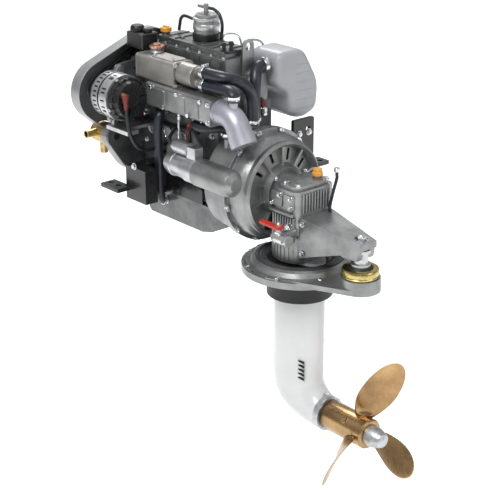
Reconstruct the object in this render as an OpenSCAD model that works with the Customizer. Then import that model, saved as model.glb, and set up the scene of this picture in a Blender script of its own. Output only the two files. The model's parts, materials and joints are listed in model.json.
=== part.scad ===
// Marine diesel engine with a saildrive leg, built as separate pieces.
// +X points aft, +Y to starboard and +Z up. The origin is the centre of the
// mounting ring's underside, on the axis of the vertical drive shaft.

/* [Engine block] */
// Height of the crankshaft axis above the ring's underside
crank_z = 180; // [172:1:190]
// Distance from the leg axis forward to the rear face of the block
drive_gap = 200; // [196:1:206]
// Length of the block
block_l = 300; // [296:1:308]
// Width of the block
block_w = 170; // [168:1:176]
// Height of the deck above the crankshaft axis
deck_h = 180; // [178:1:184]
// Depth of the sump joint below the crankshaft axis
sump_joint_h = 68; // [66:1:72]
// Diameter of each cylinder bore
bore_d = 76; // [70:0.5:78]
// Distance from one cylinder to the next
bore_pitch = 86; // [84:0.5:88]
// Stroke of the pistons
stroke = 82; // [70:1:84]
// Height of the cylinder head
head_h = 64; // [58:1:68]
// Width of the cylinder head
head_w = 144; // [138:1:150]
// Height of the valve cover
valve_cover_h = 46; // [40:1:50]
// Wall thickness of castings
wall = 6; // [4:0.5:8]
// Depth of the oil pan below its joint
pan_depth = 82; // [70:1:90]

/* [Belt drive] */
// Distance from the block's front face to the middle of the belt
belt_run = 37; // [36.5:0.5:42]
// Radius of the crankshaft pulley
crank_pulley_r = 52; // [48:1:54]
// Radius of the coolant pump pulley
pump_pulley_r = 48; // [44:1:50]
// Radius of the alternator pulley
alt_pulley_r = 33; // [30:1:36]
// Width of the belt
belt_w = 10; // [8:0.5:12]
// Thickness of the belt
belt_t = 8; // [6:0.5:9]
// Depth of the belt cover's rim
cover_rim = 35; // [32:1:38]

/* [Alternator] */
// Radius of the alternator body
alt_r = 57; // [54:0.5:60]
// Length of the alternator's metal body
alt_l = 63; // [60:1:70]
// Length of the alternator's rear cover
alt_cover_l = 30; // [26:1:34]

/* [Exhaust and cooling] */
// Length of the exhaust manifold
manifold_l = 246; // [236:1:250]
// Height of the exhaust manifold
manifold_h = 60; // [54:1:62]
// Width of the exhaust manifold
manifold_w = 68; // [66:1:74]
// Outer radius of the exhaust elbow
elbow_r = 29; // [26:0.5:30]
// Wall of the exhaust elbow
elbow_wall = 4; // [3:0.5:5]
// Length of the heat exchanger tank
tank_l = 148; // [140:1:150]
// Height of the heat exchanger tank
tank_h = 60; // [54:1:62]
// Radius of the exchanger's round end
tank_end_r = 27; // [24:0.5:28]
// Outer radius of the large rubber hoses
hose_r = 14; // [12:0.5:15]

/* [Flywheel and bell] */
// Radius of the flywheel's ring gear
flywheel_r = 122; // [116:0.5:124]
// Thickness of the flywheel
flywheel_t = 36; // [28:1:38]
// Radius of the bell housing's flange
bell_flange_r = 139; // [138:0.5:144]
// Radius of the bell's barrel
bell_r = 129; // [128.5:0.5:131]
// Length of the bell behind its flange
bell_l = 77; // [74:1:80]
// Radius of the starter motor
starter_r = 28; // [26:0.5:28]
// Length of the starter motor's barrel
starter_l = 66; // [60:1:72]

/* [Saildrive] */
// Half width of the upper gear case
case_half_w = 62; // [58:1:66]
// Height of the upper gear case
case_h = 178; // [176:1:184]
// Outer radius of the mounting ring
ring_r = 141; // [138:1:146]
// Thickness of the mounting ring's flange
ring_t = 16; // [14:1:17]
// Radius of the opening in the mounting ring
ring_bore_r = 92; // [90:0.5:94]
// Distance from the leg axis to the rear isolator
mount_x = 199; // [196:1:202]
// Radius of the rear isolator's cup
isolator_r = 43; // [38:1:44]
// Fore and aft length of the leg's section
leg_l = 152; // [148:1:154]
// Width of the leg's section
leg_w = 90; // [84:1:92]
// Depth of the propeller shaft axis below the ring
prop_depth = 350; // [340:1:360]
// Radius of the leg's round end
torpedo_r = 42; // [40:0.5:44]

/* [Propeller] */
// Radius swept by the blades
propeller_r = 188; // [170:1:192]
// Radius of the propeller hub
hub_r = 37; // [34:0.5:38]
// Length of the propeller hub
hub_l = 134; // [128:1:138]
// Number of blades
blade_count = 3; // [2:1:4]
// Widest chord of a blade
blade_chord = 94; // [84:1:100]
// Distance the blade tips lean aft
blade_rake = 62; // [50:1:70]

/* [Hidden] */
$fn = 48;

// Common clearances and one overrun for every cut
cut = 5;
fit_gap = 0.3;
run_gap = 0.05;
seat_gap = 0.3;
side_seat_gap = 1.3;
small_r = 4;
corner_r = 9;

// Engine block, head and cover
block_x = [-drive_gap - block_l, -drive_gap];
block_y = block_w / 2;
block_z = [crank_z - sump_joint_h, crank_z + deck_h];
block_mid_x = (block_x[0] + block_x[1]) / 2;
cylinder_x = [block_mid_x - bore_pitch, block_mid_x, block_mid_x + bore_pitch];
bore_r = bore_d / 2;
throw_r = stroke / 2;
crank_pin_r = 19;
crank_web_rim = 3;
journal_r = 24;
bay_half = 30;
crankcase_r = 68;
cam_tunnel_r = 17;
tunnel_end = 22;
flange_t = 8;
gasket_t = 1.5;
head_y = head_w / 2;
head_z = [block_z[1] + gasket_t, block_z[1] + gasket_t + head_h];
cover_end_gap = 14;
top_x = [block_x[0] + flange_t, block_x[1] - cover_end_gap];
top_y = [-54, 46];
top_z = [head_z[1], head_z[1] + valve_cover_h];
cover_step_h = 16;
cover_step_in = 10;
step_top_z = top_z[1] + cover_step_h;
filler_in = 26;
filler_x = top_x[0] + filler_in;
filler_y = -28;
filler_neck_r = 10;
filler_neck_h = 8;

// Timing gears, with the pitch radius of each
crank_gear_r = 31;
cam_gear_r = 2 * crank_gear_r;
idler_gear_r = 67;
pump_gear_r = 18;
gear_w = 14;
gear_gap = 0.3;
gear_room = 3;
cam_angle = 48.5;
idler_angle = 159;
pump_angle = 159;
cam_reach = crank_gear_r + cam_gear_r;
idler_reach = crank_gear_r + idler_gear_r;
pump_reach = idler_gear_r + pump_gear_r;
cam_y = cam_reach * cos(cam_angle);
cam_z = crank_z + cam_reach * sin(cam_angle);
idler_y = idler_reach * cos(idler_angle);
idler_z = crank_z + idler_reach * sin(idler_angle);
raw_pump_y = idler_y + pump_reach * cos(pump_angle);
raw_pump_z = idler_z + pump_reach * sin(pump_angle);
timing_t = 26;
timing_x = [block_x[0] - timing_t, block_x[0]];
gear_x = [timing_x[1] - gear_w - seat_gap, timing_x[1] - seat_gap];
shaft_r = 9;
cam_shaft_r = 12;

// Belt drive
belt_x = block_x[0] - belt_run;
pulley_flange = 4;
belt_side_gap = 0.4;
belt_seat_gap = 0.4;
pulley_half = belt_w / 2 + belt_side_gap + pulley_flange;
pulley_x = [belt_x - pulley_half, belt_x + pulley_half];
pump_y = -33;
pump_z = 424;
alt_y = -184;
alt_z = 360;
nose_r = 15;
hub_ring_r = 24;
crank_cover_gap = 4;
pump_cover_gap = 22;
alt_cover_gap = 42;
cover_wall = 2.5;
cover_front_gap = 3;
cover_x = [pulley_x[0] - cover_front_gap - cover_wall, pulley_x[0] - cover_front_gap - cover_wall + cover_rim];
cover_tie_r = 7;

// Alternator
alt_lead = 4;
alt_x = [block_x[0] + alt_lead, block_x[0] + alt_lead + alt_l];
alt_cover_x = [alt_x[1], alt_x[1] + alt_cover_l];
alt_cover_r = 51;
alt_wall = 8;
alt_ear_r = 10;
alt_ear_t = 12;
alt_foot_z = alt_z - alt_r - alt_ear_r;
rotor_gap = 2;
cradle_t = 10;
cradle_w = 34;
cradle_l = 92;
adjuster_t = 6;
adjuster_w = 20;
adjuster_reach = 54;

// Coolant pump and the front cover above it
pump_r = 44;
pump_face_gap = 1;
pump_body_x = [pulley_x[1] + pump_face_gap, block_x[0]];
black_box_y = [-112, -64];
black_box_l = 62;
black_box_z = [464, 500];

// Heat exchanger, manifold and elbow
manifold_tail = 41;
manifold_x = [block_x[1] + manifold_tail - manifold_l, block_x[1] + manifold_tail];
manifold_y = [-head_y - manifold_w, -head_y];
manifold_drop = 20;
manifold_z = [block_z[1] - manifold_drop, block_z[1] - manifold_drop + manifold_h];
manifold_foot_t = 14;
manifold_foot_z = [364, 396];
port_z = 379;
port_r = 12;
gallery_r = 23;
runner_x = [-462, -400];
runner_y = -100;
runner_z = [352, 396];
runner_bore = 5;
manifold_bolt_x = [-384, -337, -284, -242, -196];
tank_x = [-452, -452 + tank_l];
tank_y = [-134, -74];
tank_z = [manifold_z[1], manifold_z[1] + tank_h];
tank_end_l = 56;
tank_end_lift = 34;
tank_end_x = [tank_x[1], tank_x[1] + tank_end_l];
tank_end_y = -104;
tank_end_z = tank_z[0] + tank_end_lift;
tank_spigot_r = 10;
tank_spigot_l = 14;
neck_x = -424;
neck_y = -90;
neck_r = 15;
neck_h = 12;
cap_r = 19;
cap_h = 10;
elbow_y = -113;
elbow_z = 370;
elbow_flange_r = 30;
elbow_flange_t = 10;
elbow_lead = 15;
elbow_bend_r = 44;
elbow_angle = 60;
elbow_mouth_l = 46;
elbow_bead = 2.5;
elbow_bead_w = 26;
spigot_wall = 2.5;

// Flywheel end and starter
housing_l = 75;
housing_x = [block_x[1], block_x[1] + housing_l];
housing_wall = 5;
flange_l = 10;
flywheel_gap = 12;
flywheel_x = [block_x[1] + flywheel_gap, block_x[1] + flywheel_gap + flywheel_t];
crank_flange_r = 36;
ring_gear_w = 12;
ring_gear_h = 6;
pinion_r = 13;
pinion_w = 14;
starter_angle = 165.5;
starter_mesh_gap = 1.5;
starter_reach = flywheel_r + pinion_r + starter_mesh_gap;
starter_y = starter_reach * cos(starter_angle);
starter_z = crank_z + starter_reach * sin(starter_angle);
pocket_r = 34;
pocket_wall = 5;
starter_nose_l = 46;
starter_x = [housing_x[0] - starter_nose_l - starter_l, housing_x[0] - starter_nose_l];
starter_cap_l = 12;
pinion_gap = 3;
pinion_x = [flywheel_x[1] - ring_gear_w - pinion_gap - pinion_w, flywheel_x[1] - ring_gear_w - pinion_gap];
pinion_shaft_r = 7;
pinion_shaft_l = 42;
solenoid_r = 17;
solenoid_l = 50;
solenoid_up = 46;
solenoid_x = [starter_x[1] - solenoid_l, starter_x[1]];
solenoid_cap_l = 10;
bell_x = [housing_x[1], housing_x[1] + bell_l];
bell_wall = 6;
bell_lip_r = 112;
bell_neck_r = 58;
bell_rib_count = 10;
bell_rib_w = 6;
bell_slot_w = 8;
bell_slot_l = 28;

// Starboard side pieces
intake_x = [block_x[0] + wall, -290];
intake_w = 46;
intake_y = [head_y, head_y + intake_w];
intake_z = [384, 428];
intake_port_r = 17;
duct_r = 24;
duct_wall = 3;
silencer_x = [-268, -164];
silencer_r = 16;
silencer_shape = [[74, 476], [160, 478], [212, 388], [207, 318], [160, 302], [118, 312], [108, 372], [74, 392]];
silencer_mouth_z = 406;
duct_y = 98;
feed_l = 110;
feed_w = 56;
feed_x = [timing_x[1] + flange_t, timing_x[1] + flange_t + feed_l];
feed_y = [block_y, block_y + feed_w];
feed_z = [210, 272];
delivery_r = 9;
delivery_h = 20;
injector_r = 9;
injector_h = 52;
injector_y = 58;
pipe_r = 3;
pipe_rise = 8;
pipe_out = 14;
filter_can_r = 37;
filter_can_l = 78;
filter_boss_r = 30;
filter_boss_l = 12;
oil_filter_back = 70;
oil_filter_x = block_mid_x + oil_filter_back;
oil_filter_z = 158;
lever_t = 5;
lever_l = 42;
lever_w = 14;

// Fuel filter on top
fuel_filter_x = -352;
fuel_filter_y = 8;
fuel_filter_r = 31;
fuel_filter_h = 46;
fuel_filter_foot_h = 12;
fuel_filter_z = top_z[1] + cover_step_h + fuel_filter_foot_h;
fuel_lid_h = 7;
fuel_stem_r = 6;
fuel_stem_h = 24;
fuel_bar_l = 56;
fuel_bar_r = 4;
fuel_foot_w = 30;

// Raw water pump and its spigots
raw_pump_r = 27;
raw_pump_l = 46;
raw_spigot_r = 10;
raw_spigot_bore = 7.5;
raw_spigot_l = 26;
raw_cover_t = 4;
impeller_r = 19;

// Engine mount brackets
bracket_t = 10;
front_x = [-432, -250];
front_z = [106, 192];
front_out = 105;
front_box_l = 80;
front_link_l = 36;
front_hose_gap = 58;
front_box_wall = 8;
front_foot_x = [-492, -420];
front_foot_out = 140;
front_foot_rise = 21;
mount_hole_r = 7;
aft_x = [housing_x[1] - flange_l - bracket_t, housing_x[1] - flange_l];
aft_y = [100, 168];
aft_z = [196, 312];
aft_foot_l = 60;
aft_foot_w = 25;

// Saildrive upper case
case_x = [bell_x[1], 50];
case_z = [34, 34 + case_h];
case_wall = 5;
case_corner = 18;
round_r = 66;
case_round_h = 92;
round_z = [case_z[0], case_z[0] + case_round_h];
case_box_x0 = -36;
case_box_z0 = 108;
case_lid_h = 10;
case_lid_in = 7;
fin_count = 36;
fin_w = 4;
fin_h = 6;
vertical_bore = 26;
input_bore = 24;
case_front_r = 44;
input_r = 13;
input_cone = 20;
bevel_out = 25;
arm_x = [case_x[1], 222];
arm_half_w = 52;
arm_tip_half_w = 26;
arm_profile = [[50, 52], [168, 90], [172, 86], [212, 86], [216, 108], [222, 111], [222, 127], [60, 150], [50, 150]];
arm_wall = 7;
arm_top_z = 127;
oil_cap_x = 14;
oil_cap_y = 38;
oil_cap_r = 13;
oil_cap_h = 17;
oil_cap_neck_h = 4;
oil_stick_r = 3;
oil_stick_l = 60;

// Mounting ring, isolator and boot
lobe_r = 48;
lobe_lift = 8;
seat_z = 41;
bead_r = 108;
bead_h = 18;
pad_count = 9;
pad_l = 34;
pad_w = 14;
pad_h = 4;
hull_bolt_count = 8;
hull_circle_r = 131;
hull_bolt_r = 4.5;
isolator_cup_h = 22;
isolator_neck_r = 23;
isolator_stud_r = 7;
isolator_nut_r = 12;
isolator_nut_h = 9;
isolator_washer_h = 3;
mount_top_z = 116;
boot_sleeve_r = 80;
boot_depth = 62;
boot_fold_count = 4;
boot_fold = 3;

// Leg
leg_mid_x = 1;
leg_top_z = case_z[0];
leg_taper_share = 0.12;
leg_corner_power = 2.8;
leg_bend_z = -264;
leg_end_x = 95;
leg_steps = 14;
leg_sides = 32;
leg_shaft_bore = 20;
gear_room_r = 29;
gear_room_x = [6, 82];
bearing_l = 12;
slot_count = 5;
slot_pitch = 11;
slot_l = 20;
slot_h = 6;
slot_depth = 8;
slot_x = 46;
slot_z = -224;

// Leg train
vertical_r = 13;
pinion_teeth_r = 18;
bevel_wheel_r = 27;
bevel_face = 10;
bevel_gap = 0.6;
vertical_z = [-prop_depth + bevel_wheel_r + bevel_gap, case_z[1] - case_wall - seat_gap];
cone_r = 23;
cone_z = [160, 198];
anode_l = 17;
anode_x = [leg_end_x, leg_end_x + anode_l];
anode_r = 43;
anode_bore = 18;
anode_lug_r = 9;
hub_gap = 1.5;
hub_x = [anode_x[1] + hub_gap, anode_x[1] + hub_gap + hub_l];
prop_shaft_r = 13;
prop_shaft_start = 14;
prop_shaft_tail = 22;
prop_shaft_x = [prop_shaft_start, hub_x[1] + prop_shaft_tail];
cone_l = 46;
cone_base_r = 26;
blade_lead = 100;
blade_x = hub_x[0] + blade_lead;
blade_sections = 12;
blade_points = 9;
blade_thick = 8;
blade_tip_thick = 2.4;
blade_start = -16;
blade_pitch = 470;
blade_root_share = 0.42;
lock_hole_r = 3;
lock_hole_depth = 8;

// Sea cock
cock_x = [28, 80];
cock_y = -112;
cock_z = 116;
cock_r = 13;
cock_elbow_x = 42;
cock_spigot_r = 10;
cock_spigot_bore = 7.5;
cock_spigot_l = 14;
cock_stem_x = 32;
cock_stem_r = 6;
cock_stem_h = 8;
cock_handle_l = 56;
cock_handle_w = 15;
cock_handle_t = 7;

// Bolts, lifting eye and sensor cable
bolt_r = 5;
bolt_h = 6;
eye_r = 18;
eye_h = 70;
cable_r = 4;
cable_cap_r = 7;
cable_cap_l = 10;

// Hose routes, hand-placed points from end to end
route_upper = [[-234, -104, 449.5], [-216, -104, 449.5], [-200, -104, 449.5], [-168, -92, 446],
  [-151, -66, 438], [-146, -40, 418], [-150, -22, 388], [-152, -17, 358], [-152, -17, 340], [-152, -17, 322]];
route_lower = [[-234, -104, 418.5], [-216, -104, 418.5], [-200, -104, 418.5], [-160, -107, 422], [-128, -111, 424],
  [-113, -113, 418], [-110, -113, 411], [-110, -113, 404]];
route_breather = [[-192, 62, 448], [-192, 48, 448], [-192, 38, 448], [-187, 24, 440], [-178, 14, 420],
  [-175, 9, 390], [-174, 8, 355], [-174, 8, 335], [-174, 8, 318]];
route_drop = [[-380, -99, 322], [-380, -104, 322], [-380, -109, 322], [-380, -122, 313], [-380, -125, 290],
  [-380, -125, 240], [-380, -125, 180], [-380, -125, 130], [-380, -122, 108],
  [-380, -114, 96], [-380, -109, 96], [-380, -104, 96]];
route_cross = [[-250, -99, 322], [-250, -104, 322], [-250, -109, 322], [-238, -120, 321], [-214, -122, 320],
  [-188, -110, 323], [-174, -92, 322], [-172, -81, 312], [-172, -80, 304], [-172, -80, 296]];
route_fuel_in = [[-389, 8, 532], [-397, 8, 532], [-405, 8, 532], [-436, 8, 534], [-452, 9, 525],
  [-458, 10, 510], [-460, 10, 502], [-462, 10, 494]];
route_fuel_out = [[-340, 8, 568], [-332, 8, 568], [-324, 8, 568], [-304, 9, 558], [-296, 11, 535],
  [-301, 14, 510], [-302, 14, 502], [-303, 14, 494]];
route_cable = [[62, 34, 150], [62, 34, 158], [62, 34, 166], [61, 44, 195], [60, 56, 226], [60, 56, 234], [60, 56, 242]];
small_hose_r = 11;
fuel_hose_r = 4;
hose_sides = 12;
hose_steps = 2;

// Points and faces of a swept tube
function spline_point(a, b, c, d, t) = (2 * b + (c - a) * t + (2 * a - 5 * b + 4 * c - d) * t * t
  + (3 * b - a - 3 * c + d) * t * t * t) / 2;
function spline(p, n) = concat([for (i = [0:len(p) - 2], j = [0:n - 1])
  spline_point(p[max(i - 1, 0)], p[i], p[i + 1], p[min(i + 2, len(p) - 1)], j / n)], [p[len(p) - 1]]);
function unit(v) = v / norm(v);
function blend(a, b, t) = a + (b - a) * t;
function ways(route, p) = [for (i = [0:len(p) - 1]) unit(i == 0 ? route[1] - route[0]
  : i == len(p) - 1 ? route[len(route) - 1] - route[len(route) - 2] : p[i + 1] - p[i - 1])];
function square_to(v, t) = unit(v - (v * t) * t);
function side_ways(w, i, v) = i == len(w) ? [] :
  concat([square_to(v, w[i])], side_ways(w, i + 1, square_to(v, w[i])));
function any_side(t) = abs(t[2]) < 0.8 ? [0, 0, 1] : [0, 1, 0];
function ring_faces(n, rings) = [for (i = [0:rings - 2], j = [0:n - 1], k = [0, 1])
  k == 0 ? [i * n + j, (i + 1) * n + j, i * n + (j + 1) % n]
    : [i * n + (j + 1) % n, (i + 1) * n + j, (i + 1) * n + (j + 1) % n]];
function cap_faces(n, rings) = [[for (j = [0:n - 1]) j], [for (j = [0:n - 1]) (rings - 1) * n + n - 1 - j]];

// Shapes laid along one axis, each between two places on it
module box(x, y, z) {
  translate([x[0], y[0], z[0]]) cube([x[1] - x[0], y[1] - y[0], z[1] - z[0]]);
}
module plate_x(x) {
  translate([x[0], 0, 0]) rotate([90, 0, 90]) linear_extrude(x[1] - x[0]) children();
}
module plate_y(y) {
  translate([0, y[1], 0]) rotate([90, 0, 0]) linear_extrude(y[1] - y[0]) children();
}
module plate_z(z) {
  translate([0, 0, z[0]]) linear_extrude(z[1] - z[0]) children();
}
module rod_x(x, r, y = 0, z = 0) {
  translate([x[0], y, z]) rotate([0, 90, 0]) cylinder(r = r, h = x[1] - x[0]);
}
module rod_y(y, r, x = 0, z = 0) {
  translate([x, y[1], z]) rotate([90, 0, 0]) cylinder(r = r, h = y[1] - y[0]);
}
module rod_z(z, r, x = 0, y = 0) {
  translate([x, y, z[0]]) cylinder(r = r, h = z[1] - z[0]);
}
module turned_x(x, y, z, profile) {
  translate([x, y, z]) rotate([0, 90, 0]) rotate_extrude() polygon(profile);
}
module rounded(a, b, r) {
  translate([a[0] + r, b[0]]) square([a[1] - a[0] - 2 * r, b[1] - b[0]]);
  translate([a[0], b[0] + r]) square([a[1] - a[0], b[1] - b[0] - 2 * r]);
  for (u = [a[0] + r, a[1] - r], v = [b[0] + r, b[1] - r]) translate([u, v]) circle(r);
}
module link_outline(a, ra, b, rb) {
  span = norm(b - a);
  turn = atan2(b[1] - a[1], b[0] - a[0]);
  lean = acos((ra - rb) / span);
  translate(a) circle(ra);
  translate(b) circle(rb);
  side = [cos(lean), sin(lean)];
  ea = (ra - run_gap) * side;
  eb = (rb - run_gap) * side + [span, 0];
  translate(a) rotate(turn) polygon([ea, [ea[0], -ea[1]], [eb[0], -eb[1]], eb]);
}
module hose(route, r) {
  p = spline(route, hose_steps);
  w = ways(route, p);
  s = side_ways(w, 0, any_side(w[0]));
  polyhedron([for (i = [0:len(p) - 1], j = [0:hose_sides - 1])
    let (a = 360 * j / hose_sides) p[i] + r * (cos(a) * s[i] + sin(a) * cross(w[i], s[i]))],
    concat(ring_faces(hose_sides, len(p)), cap_faces(hose_sides, len(p))));
}

// Outline of the timing gear room, grown by a margin
module timing_outline(margin) {
  translate([0, crank_z]) circle(crank_gear_r + margin);
  link_outline([0, crank_z], crank_gear_r + margin, [cam_y, cam_z], cam_gear_r + margin);
  link_outline([0, crank_z], crank_gear_r + margin, [idler_y, idler_z], idler_gear_r + margin);
  link_outline([idler_y, idler_z], idler_gear_r + margin, [raw_pump_y, raw_pump_z], pump_gear_r + margin);
}

module engine_block() {
  color("dimgray") difference() {
    union() {
      plate_x(block_x) rounded([-block_y, block_y], block_z, corner_r);
      plate_x([block_x[0], block_x[0] + flange_t]) timing_outline(gear_room + wall);
      for (x = [route_drop[0][0], route_cross[0][0]])
        rod_y([-block_y - flange_t - wall, -block_y], small_hose_r - spigot_wall, x, route_drop[0][2]);
    }
    for (x = cylinder_x) {
      rod_z([crank_z, block_z[1] + cut], bore_r, x);
      rod_x([x - bay_half, x + bay_half], crankcase_r, 0, crank_z);
      box([x - bay_half, x + bay_half], [-crankcase_r, crankcase_r], [block_z[0] - cut, crank_z]);
    }
    rod_x([block_x[0] - cut, block_x[1] + cut], journal_r + run_gap, 0, crank_z);
    rod_x([block_x[0] - cut, block_x[1] - tunnel_end], cam_tunnel_r, cam_y, cam_z);
    rod_x([block_x[0] - cut, block_x[1] + cut], cam_shaft_r + run_gap, cam_y, cam_z);
    rod_x([block_x[0] - cut, block_x[0] + flange_t + cut], shaft_r + run_gap, idler_y, idler_z);
    rod_x([block_x[0] - cut, block_x[0] + flange_t + cut], shaft_r + run_gap, raw_pump_y, raw_pump_z);
  }
}

module cylinder_head() {
  eye_x = [top_x[1] + small_r / 2, top_x[1] + 1.5 * small_r];
  color("gray") difference() {
    plate_x(block_x) rounded([-head_y, head_y], head_z, small_r);
    for (x = cylinder_x) {
      rod_z([head_z[0] - cut, head_z[1] + cut], injector_r / 2 + run_gap, x, injector_y);
      rod_z([head_z[0] - cut, head_z[0] + wall], bore_r - wall, x);
      rod_y([-head_y - cut, -wall], port_r, x, port_z);
    }
  }
  color("silver") box(block_x, [-head_y, head_y], [block_z[1], head_z[0]]);
  color("gray") plate_x(eye_x) difference() {
    union() {
      rounded([0, 2 * eye_r], [head_z[1], head_z[1] + eye_h], small_r);
      translate([eye_r, head_z[1] + eye_h]) circle(eye_r);
    }
    translate([eye_r, head_z[1] + eye_h]) circle(eye_r / 2);
  }
}

module valve_cover() {
  color("dimgray") difference() {
    union() {
      plate_z(top_z) rounded(top_x, top_y, corner_r);
      plate_z([top_z[1], step_top_z])
        rounded([top_x[0] + cover_step_in, top_x[1] - cover_step_in],
        [top_y[0] + cover_step_in, top_y[1] - cover_step_in], corner_r);
      rod_z([step_top_z, step_top_z + filler_neck_h], filler_neck_r, filler_x, filler_y);
    }
    box([top_x[0] + wall, top_x[1] - wall],
      [top_y[0] + wall, top_y[1] - wall],
      [top_z[0] - cut, top_z[1] - wall]);
  }
}

module oil_pan() {
  lip_z = [block_z[0] - flange_t, block_z[0]];
  lip_x = [block_x[0], block_x[1]];
  low_z = block_z[0] - pan_depth;
  side = block_y - corner_r;
  slope = pan_depth - flange_t;
  color("slategray") difference() {
    union() {
      plate_z(lip_z) rounded(lip_x, [-block_y - corner_r, block_y + corner_r], corner_r);
      plate_y([-side, side]) polygon([[lip_x[0] + small_r, lip_z[0]], [lip_x[0] + corner_r, low_z + corner_r],
        [lip_x[0] + 2 * corner_r, low_z], [lip_x[1] - slope, low_z], [lip_x[1] - slope / 2, low_z + corner_r],
        [lip_x[1] - small_r, lip_z[0]]]);
      rod_y([-block_y - 2 * corner_r, -side], small_hose_r - spigot_wall,
        route_drop[len(route_drop) - 1][0], route_drop[len(route_drop) - 1][2]);
    }
    box([lip_x[0] + 3 * wall, lip_x[1] - slope], [-side + wall, side - wall],
      [low_z + wall, lip_z[1] + cut]);
  }
}

module timing_cover() {
  color("gray") difference() {
    plate_x(timing_x) union() {
      rounded([-block_y, block_y], block_z, corner_r);
      timing_outline(gear_room + wall);
    }
    plate_x([timing_x[0] + wall, timing_x[1] + cut]) timing_outline(gear_room);
    rod_x([timing_x[0] - cut, timing_x[1]], nose_r + fit_gap, 0, crank_z);
    rod_x([timing_x[0] - cut, timing_x[1]], shaft_r + run_gap, raw_pump_y, raw_pump_z);
    rod_x([timing_x[0] + wall / 2, timing_x[1]], shaft_r + run_gap, idler_y, idler_z);
  }
}

module pulley(r, y, z, hub) {
  groove = r - belt_t;
  half = belt_w / 2 + belt_side_gap;
  turned_x(belt_x, y, z, [[0, -pulley_half], [r, -pulley_half], [r, -half], [groove, -half],
    [groove, half], [r, half], [r, pulley_half], [hub, pulley_half], [hub, half], [0, half]]);
}
module belt_outline(grow) {
  hull() {
    translate([0, crank_z]) circle(crank_pulley_r - belt_t + grow);
    translate([pump_y, pump_z]) circle(pump_pulley_r - belt_t + grow);
    translate([alt_y, alt_z]) circle(alt_pulley_r - belt_t + grow);
  }
}
module drive_belt() {
  color("#1c1c1e") plate_x([belt_x - belt_w / 2, belt_x + belt_w / 2]) difference() {
    belt_outline(belt_t + belt_seat_gap);
    belt_outline(belt_seat_gap);
  }
}
module cover_outline(grow) {
  hull() {
    translate([0, crank_z]) circle(crank_pulley_r + crank_cover_gap + grow);
    translate([pump_y, pump_z]) circle(pump_pulley_r + pump_cover_gap + grow);
    translate([alt_y, alt_z]) circle(alt_pulley_r + alt_cover_gap + grow);
  }
}
module belt_cover() {
  color("#9a9ca0") difference() {
    union() {
      difference() {
        plate_x(cover_x) cover_outline(cover_wall);
        plate_x([cover_x[0] + cover_wall, cover_x[1] + cut]) cover_outline(0);
      }
      for (share = [0.36, 0.5])
        rod_x([cover_x[0] + cover_wall, timing_x[0]], cover_tie_r, 0, blend(crank_z, pump_z, share));
    }
    plate_x([timing_x[0], cover_x[1] + cut]) {
      timing_outline(gear_room + wall + small_r / 2);
      rounded([-block_y - small_r / 2, block_y + small_r / 2], block_z, corner_r);
    }
    rod_x([cover_x[0] - cut, cover_x[1] + cut], raw_pump_r + small_r / 2, raw_pump_y, raw_pump_z);
  }
}

module crankshaft() {
  cheek_t = bay_half - crank_pin_r / 2 - small_r;
  color("#8d9094") {
    rod_x([gear_x[0], gear_x[1]], crank_gear_r - gear_gap, 0, crank_z);
    rod_x([pulley_x[0], gear_x[0]], nose_r, 0, crank_z);
    rod_x([gear_x[0], cylinder_x[0] - bay_half + 2 * small_r], journal_r, 0, crank_z);
    for (i = [0, 1])
      rod_x([cylinder_x[i] + bay_half - 2 * small_r, cylinder_x[i + 1] - bay_half + 2 * small_r], journal_r, 0, crank_z);
    rod_x([cylinder_x[2] + bay_half - 2 * small_r, flywheel_x[0]], journal_r, 0, crank_z);
    rod_x([block_x[1] + seat_gap, flywheel_x[0]], crank_flange_r, 0, crank_z);
    for (i = [0:2]) translate([cylinder_x[i], 0, crank_z]) rotate([120 * i, 0, 0]) {
      rod_x([-crank_pin_r, crank_pin_r], crank_pin_r, 0, throw_r);
      for (side = [-1, 1]) plate_x(side > 0 ? [crank_pin_r / 2 + small_r, bay_half - small_r]
        : [small_r - bay_half, -crank_pin_r / 2 - small_r]) {
        translate([0, throw_r]) circle(crank_pin_r + crank_web_rim);
        circle(journal_r + crank_web_rim);
        translate([-crank_pin_r, 0]) square([2 * crank_pin_r, throw_r]);
        intersection() {
          circle(throw_r + crank_pin_r);
          translate([-throw_r, -throw_r - crank_pin_r]) square([2 * throw_r, throw_r + crank_pin_r]);
        }
      }
    }
  }
}
module flywheel() {
  color("#5f6468") difference() {
    union() {
      rod_x(flywheel_x, flywheel_r - ring_gear_h, 0, crank_z);
      rod_x([flywheel_x[1] - ring_gear_w, flywheel_x[1]], flywheel_r, 0, crank_z);
    }
    rod_x([flywheel_x[0] - cut, flywheel_x[1] + cut], input_r + run_gap, 0, crank_z);
    rod_x([flywheel_x[0] + 2 * wall, flywheel_x[1] + cut], flywheel_r - 3 * wall, 0, crank_z);
  }
}
module crank_pulley() {
  color("#3a3c40") difference() {
    pulley(crank_pulley_r, 0, crank_z, hub_ring_r);
    rod_x([pulley_x[0] + wall, pulley_x[1] + cut], nose_r + run_gap, 0, crank_z);
    rod_x([pulley_x[0] - cut, pulley_x[0] + wall], nose_r + run_gap, 0, crank_z);
  }
}
module input_shaft() {
  color("#8d9094") {
    rod_x([flywheel_x[0] + wall, -bevel_out - bevel_face], input_r, 0, crank_z);
    turned_x(-bevel_out, 0, crank_z, [[0, -bevel_face], [input_cone, -bevel_face],
      [input_cone - small_r, 0], [0, 0]]);
  }
}
module camshaft() {
  lobe_t = 12;
  color("#8d9094") {
    rod_x([gear_x[0], block_x[1] - small_r], cam_shaft_r, cam_y, cam_z);
    rod_x(gear_x, cam_gear_r - gear_gap, cam_y, cam_z);
    for (x = cylinder_x, k = [-1, 1]) translate([x + k * lobe_t, cam_y, cam_z]) rotate([120 * k + x, 0, 0])
      rod_x([-lobe_t / 2, lobe_t / 2], cam_shaft_r, 0, small_r);
  }
}
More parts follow.
